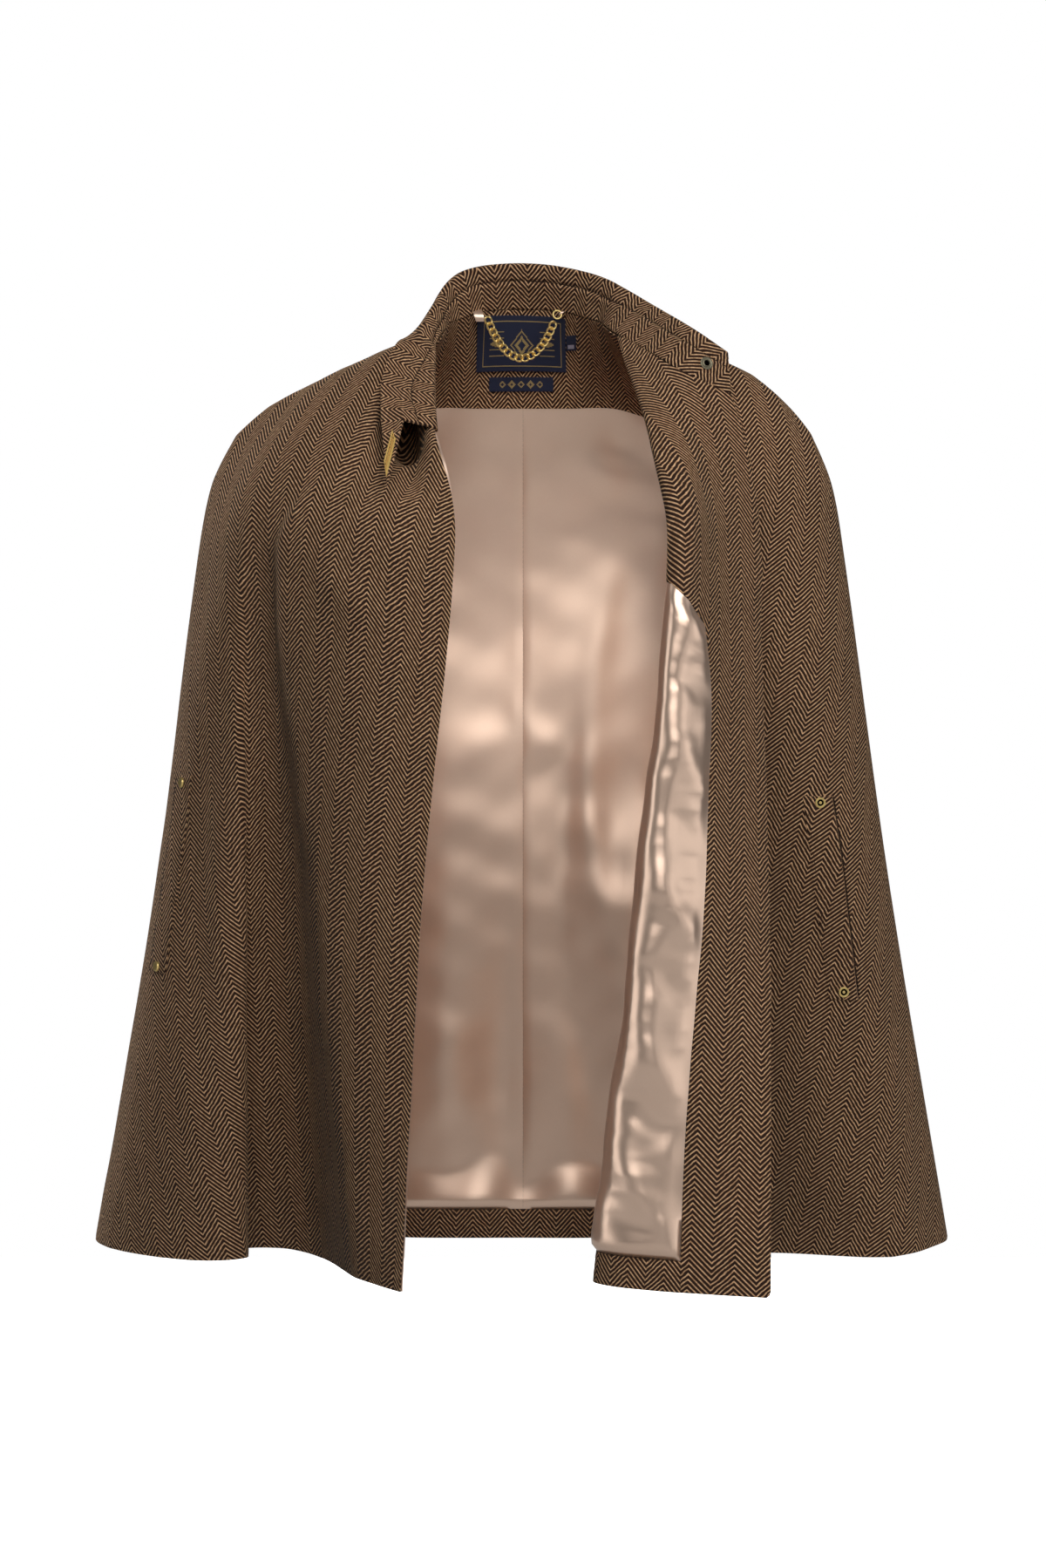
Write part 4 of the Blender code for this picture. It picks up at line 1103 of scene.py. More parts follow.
# Ribbon and thread: the two colours of the weave and the scale of its ribs.
WEAVES = {
    "navy_weave": ((0.002, 0.0026, 0.007), (0.004, 0.0052, 0.014), 900.0),
    "gold_thread": ((0.30, 0.21, 0.085), (0.44, 0.33, 0.15), 1400.0),
    "brown_thread": ((0.022, 0.012, 0.007), (0.05, 0.03, 0.018), 1400.0),
    "pale_thread": ((0.30, 0.28, 0.37), (0.42, 0.40, 0.50), 1400.0),
}


def weave_material(name, colour, second, scale):
    """Tightly woven ribbon or thread in two near colours."""
    made, tree, shader = blank_material(name)
    place = link_node(tree, "ShaderNodeTexCoord").outputs["Object"]
    turned = link_node(tree, "ShaderNodeMapping", [("Vector", place), ("Rotation", (0.0, 0.6, 0.0))])
    ribs = link_node(tree, "ShaderNodeTexWave", [("Vector", turned.outputs[0]), ("Scale", scale)],
                     bands_direction="Z").outputs["Fac"]
    tree.links.new(colour_mix(tree, ribs, (*colour, 1), (*second, 1)), shader.inputs["Base Color"])
    raise_surface(tree, shader, ribs, 0.4, 0.0002)
    set_finish(shader, {"Roughness": 0.75, "Specular IOR Level": 0.15})
    return made


class CapeClothSettings(bpy.types.PropertyGroup):
    """Colours, weave and gauges of the cloth."""

    tan_yarn: FloatVectorProperty(
        name="Tan yarn", description="Lighter yarn of the twill lines", subtype="COLOR",
        default=(0.50, 0.275, 0.137), min=0, max=1)
    pale_yarn: FloatVectorProperty(
        name="Pale yarn", description="Palest flecks of the twill lines", subtype="COLOR",
        default=(0.86, 0.54, 0.30), min=0, max=1)
    brown_yarn: FloatVectorProperty(
        name="Brown yarn", description="Warmer ground yarn", subtype="COLOR",
        default=(0.040, 0.016, 0.009), min=0, max=1)
    dark_yarn: FloatVectorProperty(
        name="Dark yarn", description="Darker ground yarn", subtype="COLOR",
        default=(0.018, 0.008, 0.005), min=0, max=1)
    satin_deep: FloatVectorProperty(
        name="Deep satin", description="Deeper tone of the lining", subtype="COLOR",
        default=(0.71, 0.502, 0.380), min=0, max=1)
    satin_pale: FloatVectorProperty(
        name="Pale satin", description="Paler tone of the lining", subtype="COLOR",
        default=(0.86, 0.637, 0.497), min=0, max=1)
    stripe_width: FloatProperty(
        name="Stripe width", description="Width of one stripe of the herringbone", unit="LENGTH",
        default=0.0140)
    twill_pitch: FloatProperty(
        name="Twill pitch", description="Distance between twill lines along the grain", unit="LENGTH",
        default=0.0041)
    twill_slope: FloatProperty(
        name="Twill slope", description="Rise of the twill lines over their run", default=1.13)
    tweed_gauge: FloatProperty(
        name="Tweed gauge", description="Thickness of the outer cloth", unit="LENGTH", default=0.0020)
    facing_gauge: FloatProperty(
        name="Facing gauge", description="Thickness of facings and hems", unit="LENGTH", default=0.0016)
    lining_gauge: FloatProperty(
        name="Lining gauge", description="Thickness of the lining", unit="LENGTH", default=0.0010)
    collar_gauge: FloatProperty(
        name="Collar gauge", description="Thickness of the collar", unit="LENGTH", default=0.0026)
    welt_gauge: FloatProperty(
        name="Welt gauge", description="Thickness of the arm welts", unit="LENGTH", default=0.0013)
    cell: FloatProperty(
        name="Cell", description="Size of the cells of the cloth", unit="LENGTH", default=0.0048)


class CapeTrimSettings(bpy.types.PropertyGroup):
    """Sizes of the metal."""

    snap_radius: FloatProperty(
        name="Snap radius", description="Radius of the arm snaps", unit="LENGTH", default=0.0042)
    socket_radius: FloatProperty(
        name="Socket radius", description="Radius of the collar snap", unit="LENGTH", default=0.0052)
    link_pitch: FloatProperty(
        name="Link pitch", description="Distance between two links of the chain", unit="LENGTH",
        default=0.0051)
    link_width: FloatProperty(
        name="Link width", description="Width across a link", unit="LENGTH", default=0.0070)
    link_wire: FloatProperty(
        name="Link wire", description="Thickness of the link's wire", unit="LENGTH", default=0.0017)
    ring_radius: FloatProperty(
        name="Ring radius", description="Radius of the ring's wire line", unit="LENGTH", default=0.0034)
    ring_wire: FloatProperty(
        name="Ring wire", description="Thickness of the ring's wire", unit="LENGTH", default=0.0014)


class CapeStageSettings(bpy.types.PropertyGroup):
    """Camera, floor and light."""

    distance: FloatProperty(
        name="Camera distance", description="Camera to the neck, along the view", unit="LENGTH", default=3.0)
    height: FloatProperty(
        name="Camera height", description="Camera above the neck seam", unit="LENGTH", default=-0.39)
    lens: FloatProperty(
        name="Lens", description="Focal length on a 36 mm sensor", default=85.85)
    floor_height: FloatProperty(
        name="Floor height", description="Floor above the neck seam", unit="LENGTH", default=-1.10)
    floor_size: FloatProperty(
        name="Floor size", description="Side of the floor", unit="LENGTH", default=5.2)
    floor_glow: FloatProperty(
        name="Floor glow", description="Brightness of the lit floor", default=1.5)
    light: FloatProperty(
        name="Light", description="Strength of all the soft lights together", default=1.0)


def shared_material(name):
    """One of the cape's materials, made when first asked for."""
    if name in bpy.data.materials:
        return bpy.data.materials[name]
    if name in METALS:
        return metal_material(name, *METALS[name])
    if name in WEAVES:
        return weave_material(name, *WEAVES[name])
    return {"herringbone_tweed": tweed_material, "champagne_satin": satin_material}[name]()


GRIDS = {}
CLOTHS = {}


def coarse_grid(side):
    """Grid of one panel as its solid has it."""
    if side not in GRIDS:
        GRIDS[side] = panel_grid(PANELS[side])
    return GRIDS[side]


def panel_cloth(side):
    """Fine cloth of one panel, uneven as hanging wool is."""
    if side not in CLOTHS:
        rows, faces = coarse_grid(side)
        places = array_of(rows)
        grain_column = column_index(BACK_COLUMNS, "centre_back") if side == "back" else 0
        grain = lay_flat(places, grain_column)
        if side == "right":
            grain[BREAK_ROW:, :, 0] -= grain[BREAK_ROW:, :1, 0].copy()
            sag, reach = WEFT_SAG
            grain[..., 1] -= sag * np.clip(grain[..., 0], 0, reach)
        grain[..., 0] += STRIPE_SHIFT[side]
        cell = bpy.context.scene.cape_cloth.cell / MM
        cloth = make_cloth(places, array_of(faces), grain, cell, CLOSE_COLUMNS[side])
        if side == "left":
            cloth = cloth._replace(**{name: slant_break(getattr(cloth, name), cloth)
                                      for name in ("places", "outward", "grain")})
        fade = seam_fade(cloth.places, WAVE_CALM[side], WAVE_GROWTH, side == "back")
        seed = WAVE_SEED[side]
        sway = ripple(cloth.grain, seed, *SLOW_WAVE) + ripple(cloth.grain, seed + 1, *QUICK_WAVE)
        lift = sway * fade + crease_field(cloth.places, TWEED_FOLDS[side])
        places = cloth.places + cloth.outward * lift[..., None]
        if side == "left":
            places[-1, 0] += CORNER_EASE * unit(places[-1, 1] - places[-1, 0])
            places[-1, 0] += CORNER_EASE * unit(places[-2, 0] - places[-1, 0])
        CLOTHS[side] = cloth._replace(places=places)
    return CLOTHS[side]


def slant_break(values, cloth):
    """Values of the left panel slid down their columns, so that the lining's top seam slants."""
    level = np.arange(len(values))
    start = sum(cloth.down[:BREAK_ROW])
    cell = bpy.context.scene.cape_cloth.cell / MM
    share = np.clip(1 - np.abs(level - start) * cell / SLANT_REACH, 0, 1)
    marks = [sum(cloth.across[:column_index(LEFT_COLUMNS, name)])
             for name in ("front_edge", "facing", "roll_apex")]
    fall = np.interp(np.arange(values.shape[1]), marks, (0.0, SEAM_SLANT / cell, 0.0))
    slid = values.copy()
    for column in range(values.shape[1]):
        at = level + share * fall[column]
        for k in range(values.shape[2]):
            slid[:, column, k] = np.interp(at, level, values[:, column, k])
    return slid


def turned_facing_grain(cloth):
    """Cut coordinates of the left facing, which is laid flat on its own."""
    end = column_index(LEFT_COLUMNS, "roll_back")
    places = array_of(coarse_grid("left")[0])[:, :end + 1]
    grain = lay_flat(places, 0)
    grain[..., 0] += STRIPE_SHIFT["left"]
    across = cloth.across[:end]
    grain = refine(refine(grain, cloth.down, 0), across, 1)
    grain = np.pad(grain, ((0, 0), (0, cloth.grain.shape[1] - grain.shape[1]), (0, 0)), mode="edge")
    return slant_break(grain, cloth)


def piece_masks(side):
    """Coarse cells of the pieces of one panel."""
    return back_masks() if side == "back" else front_masks(side)


def front_masks(side):
    """Coarse cells of the pieces of one front."""
    columns = PANELS[side].columns
    rows = len(UPPER_ROWS + SLIT_ROWS[side] + LOWER_ROWS) - 1
    r, c = np.indices((rows, sum(count for _, count in columns)))
    slit = column_index(columns, "arm_slit")
    at_slit = (r >= SLIT_TOP_ROW) & (r < SLIT_END_ROW)
    cut = at_slit & (c == slit)
    facing = c < column_index(columns, "facing")
    if side == "left":
        facing |= (r < BREAK_ROW) & (c < column_index(columns, "roll_back"))
    hem = (r >= HEM_ROW) & ~facing
    welt = at_slit & (c >= column_index(columns, "welt")) & (c < slit)
    return {"outer": ~cut, "facing": facing, "hem": hem, "lining": ~(facing | hem | cut), "welt": welt}


def back_masks():
    """Coarse cells of the pieces of the back."""
    rows = len(UPPER_ROWS + SLIT_ROWS["back"] + LOWER_ROWS) - 1
    r, c = np.indices((rows, sum(count for _, count in BACK_COLUMNS)))
    start = column_index(BACK_COLUMNS, "right_neck") - 1
    end = column_index(BACK_COLUMNS, "left_neck") + 1
    neck = (r < NECK_FACING_ROW) & (c >= start) & (c < end)
    hem = r >= HEM_ROW
    middle = column_index(BACK_COLUMNS, "centre_back")
    rest = ~(neck | hem)
    return {"outer": r >= 0, "neck": neck, "hem": hem, "right_lining": rest & (c < middle),
            "left_lining": rest & (c >= middle)}


class CAPE_OT_stage(bpy.types.Operator):
    """Make the camera, the pale floor and the soft light."""

    bl_idname = "cape.stage"
    bl_label = "Stage"

    def execute(self, context):
        stage = context.scene.cape_stage
        camera = bpy.data.cameras.new("camera")
        camera.lens = stage.lens
        camera.sensor_width = 36.0
        camera.clip_end = 100.0
        seat = bpy.data.objects.new("camera", camera)
        seat.location = (0, -stage.distance, stage.height)
        seat.rotation_euler = (math.pi / 2, 0, 0)
        context.scene.collection.objects.link(seat)
        context.scene.camera = seat
        bpy.ops.object.select_all(action="DESELECT")
        bpy.ops.mesh.primitive_plane_add(size=stage.floor_size, location=(0, 0, stage.floor_height))
        floor = context.object
        floor.name = "floor"
        pale, _, shader = blank_material("pale_floor")
        set_finish(shader, {"Base Color": (0.9, 0.9, 0.9, 1), "Emission Color": (1, 1, 1, 1),
                            "Emission Strength": stage.floor_glow})
        floor.data.materials.append(pale)
        floor.visible_diffuse = False
        floor.visible_glossy = False
        world = bpy.data.worlds.new("surround")
        world.use_nodes = True
        sky = world.node_tree.nodes["Background"]
        sky.inputs[0].default_value = (1, 1, 1, 1)
        sky.inputs[1].default_value = 1.0
        world.cycles_visibility.diffuse = False
        world.cycles_visibility.glossy = False
        context.scene.world = world
        for lamp in LAMPS:
            made = bpy.data.lights.new(lamp.name, "AREA")
            made.energy = lamp.power * stage.light
            made.shape = "RECTANGLE"
            made.size = lamp.wide
            made.size_y = lamp.high
            made.spread = math.radians(lamp.beam)
            stand = bpy.data.objects.new(lamp.name, made)
            stand.location = lamp.place
            aim = Vector(lamp.aim) - Vector(lamp.place)
            stand.rotation_euler = aim.to_track_quat("-Z", "Y").to_euler()
            stand.visible_camera = False
            stand.visible_diffuse = lamp.matt
            stand.visible_glossy = lamp.gloss
            context.scene.collection.objects.link(stand)
        context.scene.view_settings.view_transform = "Standard"
        return {"FINISHED"}


class CAPE_OT_outer_cloth(bpy.types.Operator):
    """Lay the outer tweed of the back and the two fronts."""

    bl_idname = "cape.outer_cloth"
    bl_label = "Outer cloth"

    def execute(self, context):
        tweed = shared_material("herringbone_tweed")
        gauge = context.scene.cape_cloth.tweed_gauge / MM
        for side, node in (("right", "right_front"), ("left", "left_front"), ("back", "back")):
            cloth = panel_cloth(side)
            mask = fine_mask(cloth, piece_masks(side)["outer"])
            piece = shell(node + "_cloth", cloth, mask, 0.0, gauge, tweed)
            declare_cloth(piece, node, cloth, mask)
        return {"FINISHED"}


class CAPE_OT_facings(bpy.types.Operator):
    """Lay the facings and the turned-up hems inside the edges."""

    bl_idname = "cape.facings"
    bl_label = "Facings and hems"

    def execute(self, context):
        gauge = context.scene.cape_cloth.facing_gauge / MM
        rows = (
            ("right", "facing", "right_front_facing", "champagne_satin", "satin", "right_front_cloth"),
            ("left", "facing", "left_front_facing", "herringbone_tweed", "tweed", "left_front_cloth"),
            ("right", "hem", "right_front_hem", "herringbone_tweed", "tweed", "right_front_cloth"),
            ("left", "hem", "left_front_hem", "herringbone_tweed", "tweed", "left_front_cloth"),
            ("back", "neck", "back_neck_facing", "herringbone_tweed", "tweed", "back_cloth"),
            ("back", "hem", "back_hem", "herringbone_tweed", "tweed", "back_cloth"),
        )
        for side, part, node, surface, slot, outer in rows:
            cloth = panel_cloth(side)
            if node == "left_front_facing":
                cloth = cloth._replace(grain=turned_facing_grain(cloth))
            mask = fine_mask(cloth, piece_masks(side)[part])
            inset = FACING_INSET if part == "facing" else EDGE_INSET
            shown = cloth._replace(grain=cloth.grain * (STRIPE_EASE.get(node, 1.0), 1.0))
            if node == "right_front_facing":
                shown = cloth._replace(places=self.roll_out(cloth.places))
            piece = shell(node + "_cloth", shown, mask, -SEAM_GAP - gauge, -SEAM_GAP,
                          shared_material(surface), inset)
            declare_cloth(piece, node, cloth, mask)
        return {"FINISHED"}

    def roll_out(self, places):
        """Places of the right facing with a sliver of its edge rolled past the front."""
        places = places.copy()
        high, low = SLIVER_SPAN
        share = np.clip((places[:, 0, 2] - low) / (high - low), 0, 1)
        away = unit(places[:, 0] - places[:, 1])
        places[:, 0] += away * (SLIVER_OUT * np.sin(share * math.pi) ** 0.5)[:, None]
        return places


class CAPE_OT_lining(bpy.types.Operator):
    """Hang the satin lining, loose and creased, inside the panels."""

    bl_idname = "cape.lining"
    bl_label = "Lining"

    def execute(self, context):
        gauge = context.scene.cape_cloth.lining_gauge / MM
        satin = shared_material("champagne_satin")
        rows = (
            ("right", "lining", "right_front_lining", "right_front_cloth"),
            ("left", "lining", "left_front_lining", "left_front_cloth"),
            ("back", "right_lining", "back_lining_right", "back_cloth"),
            ("back", "left_lining", "back_lining_left", "back_cloth"),
        )
        for side, part, node, outer in rows:
            cloth = panel_cloth(side)
            coarse = piece_masks(side)
            mask = fine_mask(cloth, coarse[part])
            whole = coarse["right_lining"] | coarse["left_lining"] if side == "back" else coarse[part]
            away = self.looseness(cloth, fine_mask(cloth, whole), side)
            piece = shell(node + "_cloth", cloth, mask, -SEAM_GAP - gauge - away, -SEAM_GAP - away, satin,
                          LINING_INSET[side], LINING_THIN)
            declare_cloth(piece, node, cloth, mask)
        return {"FINISHED"}

    def looseness(self, cloth, mask, side):
        """Distance that the lining stands off the tweed, none at its seams."""
        seed = LINING_SEED[side]
        wavy = LINING_WAVE[side]
        quick, share = LINING_QUICK
        loose = LINING_LOOSE[side] + ripple(cloth.grain, seed, LINING_SLOW, wavy)
        loose = loose + ripple(cloth.grain, seed + 1, quick, share * wavy)
        if side == "back":
            dip, wide = MIDDLE_SEAM
            seam = dip * np.exp(-(cloth.places[..., 0] / wide) ** 2)
            loose = loose - seam + crease_field(cloth.places, BACK_CREASES)
        if side == "left":
            apex = sum(cloth.across[:column_index(LEFT_COLUMNS, "roll_apex")])
            flap = np.arange(cloth.places.shape[1]) < apex
            loose = loose + (FLAP_LOOSE + FLAP_CREASING * crease_field(cloth.places, FLAP_CREASES)) * flap
            loose = loose + ripple(cloth.grain * PUCKER_STRETCH, seed + 3, *PUCKER) * flap
        reach = edge_distance(cloth.places, mask)
        loose = np.maximum(loose, 0.0) * ease(np.clip(reach / LINING_REACH[side], 0, 1))
        hem = sum(cloth.down[:HEM_ROW])
        rise = np.zeros(cloth.places.shape[:2])
        rise[:hem + 1] = runs_along(cloth.places[hem::-1])[::-1]
        crumple = 1.0 + ripple(cloth.grain, seed + 2, *PLEAT_CRUMPLE)
        deep = np.clip(1 - rise / (PLEAT_HEIGHT * crumple), 0, 1) ** PLEAT_CURVE
        pleat = PLEAT_DEPTH * crumple * deep * (1 - np.exp(-rise / PLEAT_ROUND))
        return loose + pleat * np.clip(reach / PLEAT_START, 0, 1)


def edge_distance(places, mask):
    """Rough distance of each grid point from the edge of a masked part, in mm."""
    count = np.zeros(places.shape[:2])
    for corner in CORNERS:
        count[corner] += mask
    far = np.where(count == 4, 1e6, 0.0)
    ways = ((far, spans(places, 0)), (far.T, spans(places, 1).T))
    for lines, steps in ways * 3:
        for k in range(1, len(lines)):
            lines[k] = np.minimum(lines[k], lines[k - 1] + steps[k - 1])
        for k in range(len(lines) - 2, -1, -1):
            lines[k] = np.minimum(lines[k], lines[k + 1] + steps[k])
    return far


def collar_cloth():
    """Fine cloth of the collar, stations by profile."""
    if "collar" not in CLOTHS:
        places = array_of(collar_grid({side: coarse_grid(side) for side in ("right", "left", "back")}))
        crown = places.shape[1] // 2
        middle = len(places) // 2
        flat = lay_flat(places, crown, (middle - COLLAR_SPAN, middle + COLLAR_SPAN))
        flat = flat - flat[middle, crown]
        grain = np.stack([-flat[..., 1] - COLLAR_SHIFT, flat[..., 0]], axis=-1)
        cell = bpy.context.scene.cape_cloth.cell / MM
        cloth = make_cloth(places, face_of(places), grain, cell * COLLAR_CELL,
                           range(crown - COLLAR_CLOSE, crown))
        CLOTHS["collar"] = cloth._replace(outward=face_of(cloth.places))
    return CLOTHS["collar"]


class CAPE_OT_collar(bpy.types.Operator):
    """Fold the collar round the neck, with the sewn groove under its fold; its stitches are a dark line that
    also paints the groove's shade.
    """

    bl_idname = "cape.collar"
    bl_label = "Collar"

    def execute(self, context):
        cloth = collar_cloth()
        mask = np.ones((cloth.places.shape[0] - 1, cloth.places.shape[1] - 1), bool)
        half = context.scene.cape_cloth.collar_gauge / MM / 2
        up = runs_along(cloth.places, 1)
        crown = sum(cloth.across[:len(cloth.across) // 2])
        below = up - up[:, crown:crown + 1] + GROOVE_DROP
        groove = GROOVE_DEPTH * np.exp(-(below / GROOVE_WIDE) ** 2)
        high, far, wide = GROOVE_SWELL
        swell = high * np.exp(-((np.abs(below) - far) / wide) ** 2)
        piece = shell("collar_cloth", cloth, mask, groove - swell - half, half,
                      shared_material("herringbone_tweed"))
        declare_cloth(piece, "collar", cloth, mask)
        marks = [np.concatenate([[0], np.cumsum(steps)]) for steps in (cloth.down, cloth.across)]
        path = []
        for row in range(2, len(below) - 2):
            if below[row, 0] < -GROOVE_STAND:
                at = np.interp(0.0, below[row, :crown + 1], np.arange(crown + 1))
                path.append([np.interp(spot, mark, np.arange(len(mark)))
                             for spot, mark in zip((row, at), marks)])
        # Dark stitches along the groove: the seam's thread, near-continuous so that they also paint the
        # groove's shade.
        stitch_row("collar_stitches", cloth, path, GROOVE_SEWN, "brown_thread", GROOVE_SHADE_STITCH)
        return {"FINISHED"}


class CAPE_OT_welts(bpy.types.Operator):
    """Sew the welts beside the arm slits."""

    bl_idname = "cape.welts"
    bl_label = "Arm welts"

    def execute(self, context):
        settings = context.scene.cape_cloth
        low = settings.tweed_gauge / MM + WELT_LIFT
        for side in ("right", "left"):
            cloth = panel_cloth(side)
            mask = fine_mask(cloth, front_masks(side)["welt"])
            mask[:, 2:] |= mask[:, 1:-1] | mask[:, :-2]
            lip = np.flatnonzero(mask.any(0))[-1] + 1
            places = cloth.places.copy()
            places[:, lip] += SLIT_SHOWN * unit(places[:, lip - 1] - places[:, lip])
            shown = cloth._replace(places=places, grain=cloth.grain + WELT_SHIFT)
            piece = shell(side + "_arm_welt_cloth", shown, mask, low, low + settings.welt_gauge / MM,
                          shared_material("herringbone_tweed"))
            declare_cloth(piece, side + "_arm_welt", cloth, mask)
            columns = PANELS[side].columns
            rows = np.linspace(SLIT_TOP_ROW + SEWN_ENDS, SLIT_END_ROW - SEWN_ENDS, 60)
            high = low + settings.welt_gauge / MM
            # The slit row is dark thread set in the gap, a painted shadow line along the opening edge.
            for name, column, height, stitch in (
                    ("welt", column_index(columns, "welt") + WELT_SEWN, high, STITCH),
                    ("slit", column_index(columns, "arm_slit") + SLIT_SHADOW_SEWN, low, SLIT_SHADOW_STITCH)):
                path = [(row, column) for row in rows]
                stitch_row(f"{side}_arm_{name}_stitches", cloth, path, height, "brown_thread", stitch)
        return {"FINISHED"}


def cloth_spot(cloth, row, column):
    """Place and outward direction at a fractional row and column of a panel."""
    values = []
    for at, steps in ((row, cloth.down), (column, cloth.across)):
        k = min(max(int(at), 0), len(steps) - 1)
        fine = sum(steps[:k]) + (at - k) * steps[k]
        i = min(max(int(fine), 0), sum(steps) - 1)
        values.append((i, fine - i))
    (i, f), (j, g) = values
    found = []
    for grid in (cloth.places, cloth.outward):
        high = grid[i, j] * (1 - g) + grid[i, j + 1] * g
        low = grid[i + 1, j] * (1 - g) + grid[i + 1, j + 1] * g
        found.append(high * (1 - f) + low * f)
    return found[0], unit(found[1])


def stitch_row(name, cloth, path, height, surface, stitch):
    """Row of short stitches along a path of rows and columns, each with its ends in the cloth."""
    length, spacing, thick = stitch
    found = [cloth_spot(cloth, row, column) for row, column in path]
    places = np.array([spot for spot, _ in found])
    faces = np.array([face for _, face in found])
    run = runs_along(places)
    verts = []
    quads = []
    rings = ((-0.5, 0.35, -0.5), (-0.32, 0.85, 0.25), (0.0, 1.0, 0.5), (0.32, 0.85, 0.25), (0.5, 0.35, -0.5))
    for at in np.arange(spacing / 2, run[-1], spacing):
        base = len(verts)
        up = unit(along_line(at, run, faces)) * math.copysign(1.0, height)
        ends = [along_line(at + half, run, places) for half in (-length / 2, length / 2)]
        side = unit(np.cross(ends[1] - ends[0], up))
        for share, round_, rise in rings:
            middle = ends[0] + (ends[1] - ends[0]) * (share + 0.5) + up * (abs(height) + thick * rise)
            for k in range(6):
                turn = k * math.pi / 3
                spoke = side * math.cos(turn) + up * math.sin(turn)
                verts.append(middle + spoke * thick / 2 * round_)
        for i in range(len(rings) - 1):
            for k in range(6):
                a = base + 6 * i + k
                b = base + 6 * i + (k + 1) % 6
                quads.append((a, b, b + 6, a + 6))
        quads.append(tuple(range(base + 5, base - 1, -1)))
        quads.append(tuple(range(base + 6 * len(rings) - 6, base + 6 * len(rings))))
    made = add_mesh(name, verts, quads, shared_material(surface))
    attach(made, "root")


def patch_cloth(cloth, grid):
    """Small cloth cut from a panel at a grid of fractional rows and columns."""
    spots = [[cloth_spot(cloth, r, c) for r, c in row] for row in grid]
    places = np.array([[spot[0] for spot in row] for row in spots])
    outward = np.array([[spot[1] for spot in row] for row in spots])
    grain = np.stack([runs_along(places, 1), -runs_along(places)], axis=-1)
    return Cloth(places, outward, grain, [1] * (len(grid) - 1), [1] * (len(grid[0]) - 1))


def back_spot(cloth, x, z):
    """Row and column of the back where the cloth passes x and z."""
    row = 0.5
    column = sum(count for _, count in BACK_COLUMNS) / 2
    for _ in range(SPOT_ROUNDS):
        here = cloth_spot(cloth, row, column)[0]
        right = cloth_spot(cloth, row, column + SPOT_STEP)[0]
        lower = cloth_spot(cloth, row + SPOT_STEP, column)[0]
        column += SPOT_STEP * (x - here[0]) / (right[0] - here[0]) * SPOT_SHARE
        row = max(row + SPOT_STEP * (z - here[2]) / (lower[2] - here[2]) * SPOT_SHARE, 0.0)
    return row, column


class CAPE_OT_labels(bpy.types.Operator):
    """Sew the woven labels to the back neck facing, each with its thread motif."""

    bl_idname = "cape.labels"
    bl_label = "Labels"

    def execute(self, context):
        cloth = panel_cloth("back")
        low = SEAM_GAP + context.scene.cape_cloth.facing_gauge / MM + LABEL_LIFT
        for label in LABELS:
            down = np.linspace(0.5, -0.5, int(label.height / THREAD) + 1)
            across = np.linspace(-0.5, 0.5, int(label.width / THREAD) + 1)
            corner = {(s, t): back_spot(cloth, label.x + label.width * s, label.z + label.height * t)
                      for s in (-0.5, 0.5) for t in (-0.5, 0.5)}
            part = patch_cloth(cloth, [[self.between(corner, s, t) for s in across] for t in down])
            mask = np.ones((len(down) - 1, len(across) - 1), bool)
            piece = shell(label.name + "_cloth", part, mask, -low - LABEL_GAUGE, -low,
                          shared_material("navy_weave"))
            declare_cloth(piece, label.name, part, mask)
            motif = label_motif(label.name, *mask.shape)
            thread = "pale_thread" if label.name == "size_tab" else "gold_thread"
            under, over = LABEL_RAISED
            threads = shell(label.name + "_threads", part, motif, -low - over, -low - under,
                            shared_material(thread), RAISED_INSET, RAISED_THIN)
            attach(threads, "root")
            near = LABEL_RIM
            r, c = np.array(mask.shape) - near
            corners = np.array(((near, near), (near, c), (r, c), (r, near), (near, near)))
            rim = [a + (b - a) * f / 30 for a, b in zip(corners, corners[1:]) for f in range(30)]
            stitch_row(label.name + "_stitches", part, rim, -low - LABEL_GAUGE, "navy_weave", LABEL_STITCH)
        return {"FINISHED"}

    def between(self, corner, s, t):
        """Row and column at a share of a label's width and height from its middle."""
        return [sum((0.5 + 2 * s * a) * (0.5 + 2 * t * b) * spot[k] for (a, b), spot in corner.items())
                for k in (0, 1)]


def label_motif(name, rows, columns):
    """Cells of a label that carry raised thread: frame, lozenges and bars."""
    r, c = np.indices((rows, columns))
    x = c - (columns - 1) / 2
    y = r - (rows - 1) / 2
    if name == "size_tab":
        return (np.abs(x) < columns * 0.32) & (y > rows * 0.12) & (y < rows * 0.36)
    if name == "small_label":
        beat = (np.abs(x) + rows * 0.35) % (rows * 0.7) - rows * 0.35
        ring = np.abs(beat) + np.abs(y)
        return (np.abs(x) < columns * 0.33) & (ring < rows * 0.27) & (ring > rows * 0.12)
    edge = np.minimum(np.minimum(r, rows - 1 - r), np.minimum(c, columns - 1 - c))
    frame = edge == 5
    diamond = np.abs(x) / (columns * 0.13) + np.abs(y - rows * 0.03) / (rows * 0.28)
    lozenge = ((diamond < 1.0) & (diamond > 0.86)) | ((diamond < 0.62) & (diamond > 0.34))
    side = np.abs(np.abs(x) - columns * 0.29)
    bars = (side < columns * 0.085) & (np.isin(np.abs(y).astype(int), (5, 11)))
    leaf = (side / (columns * 0.085) + np.abs(y) / 3.4) < 1.0
    return frame | lozenge | bars | leaf


def select_only(piece):
    """Make one piece the active and only selected one."""
    bpy.ops.object.select_all(action="DESELECT")
    piece.select_set(True)
    bpy.context.view_layer.objects.active = piece


def edit_piece(piece):
    """Enter the mesh of one piece."""
    select_only(piece)
    bpy.ops.object.mode_set(mode="EDIT")


def pick_faces(piece, test):
    """Select the faces of the piece in edit whose middle and normal pass a test."""
    bpy.ops.mesh.select_all(action="DESELECT")
    bpy.ops.object.mode_set(mode="OBJECT")
    for polygon in piece.data.polygons:
        polygon.select = bool(test(polygon.center, polygon.normal))
    bpy.ops.object.mode_set(mode="EDIT")


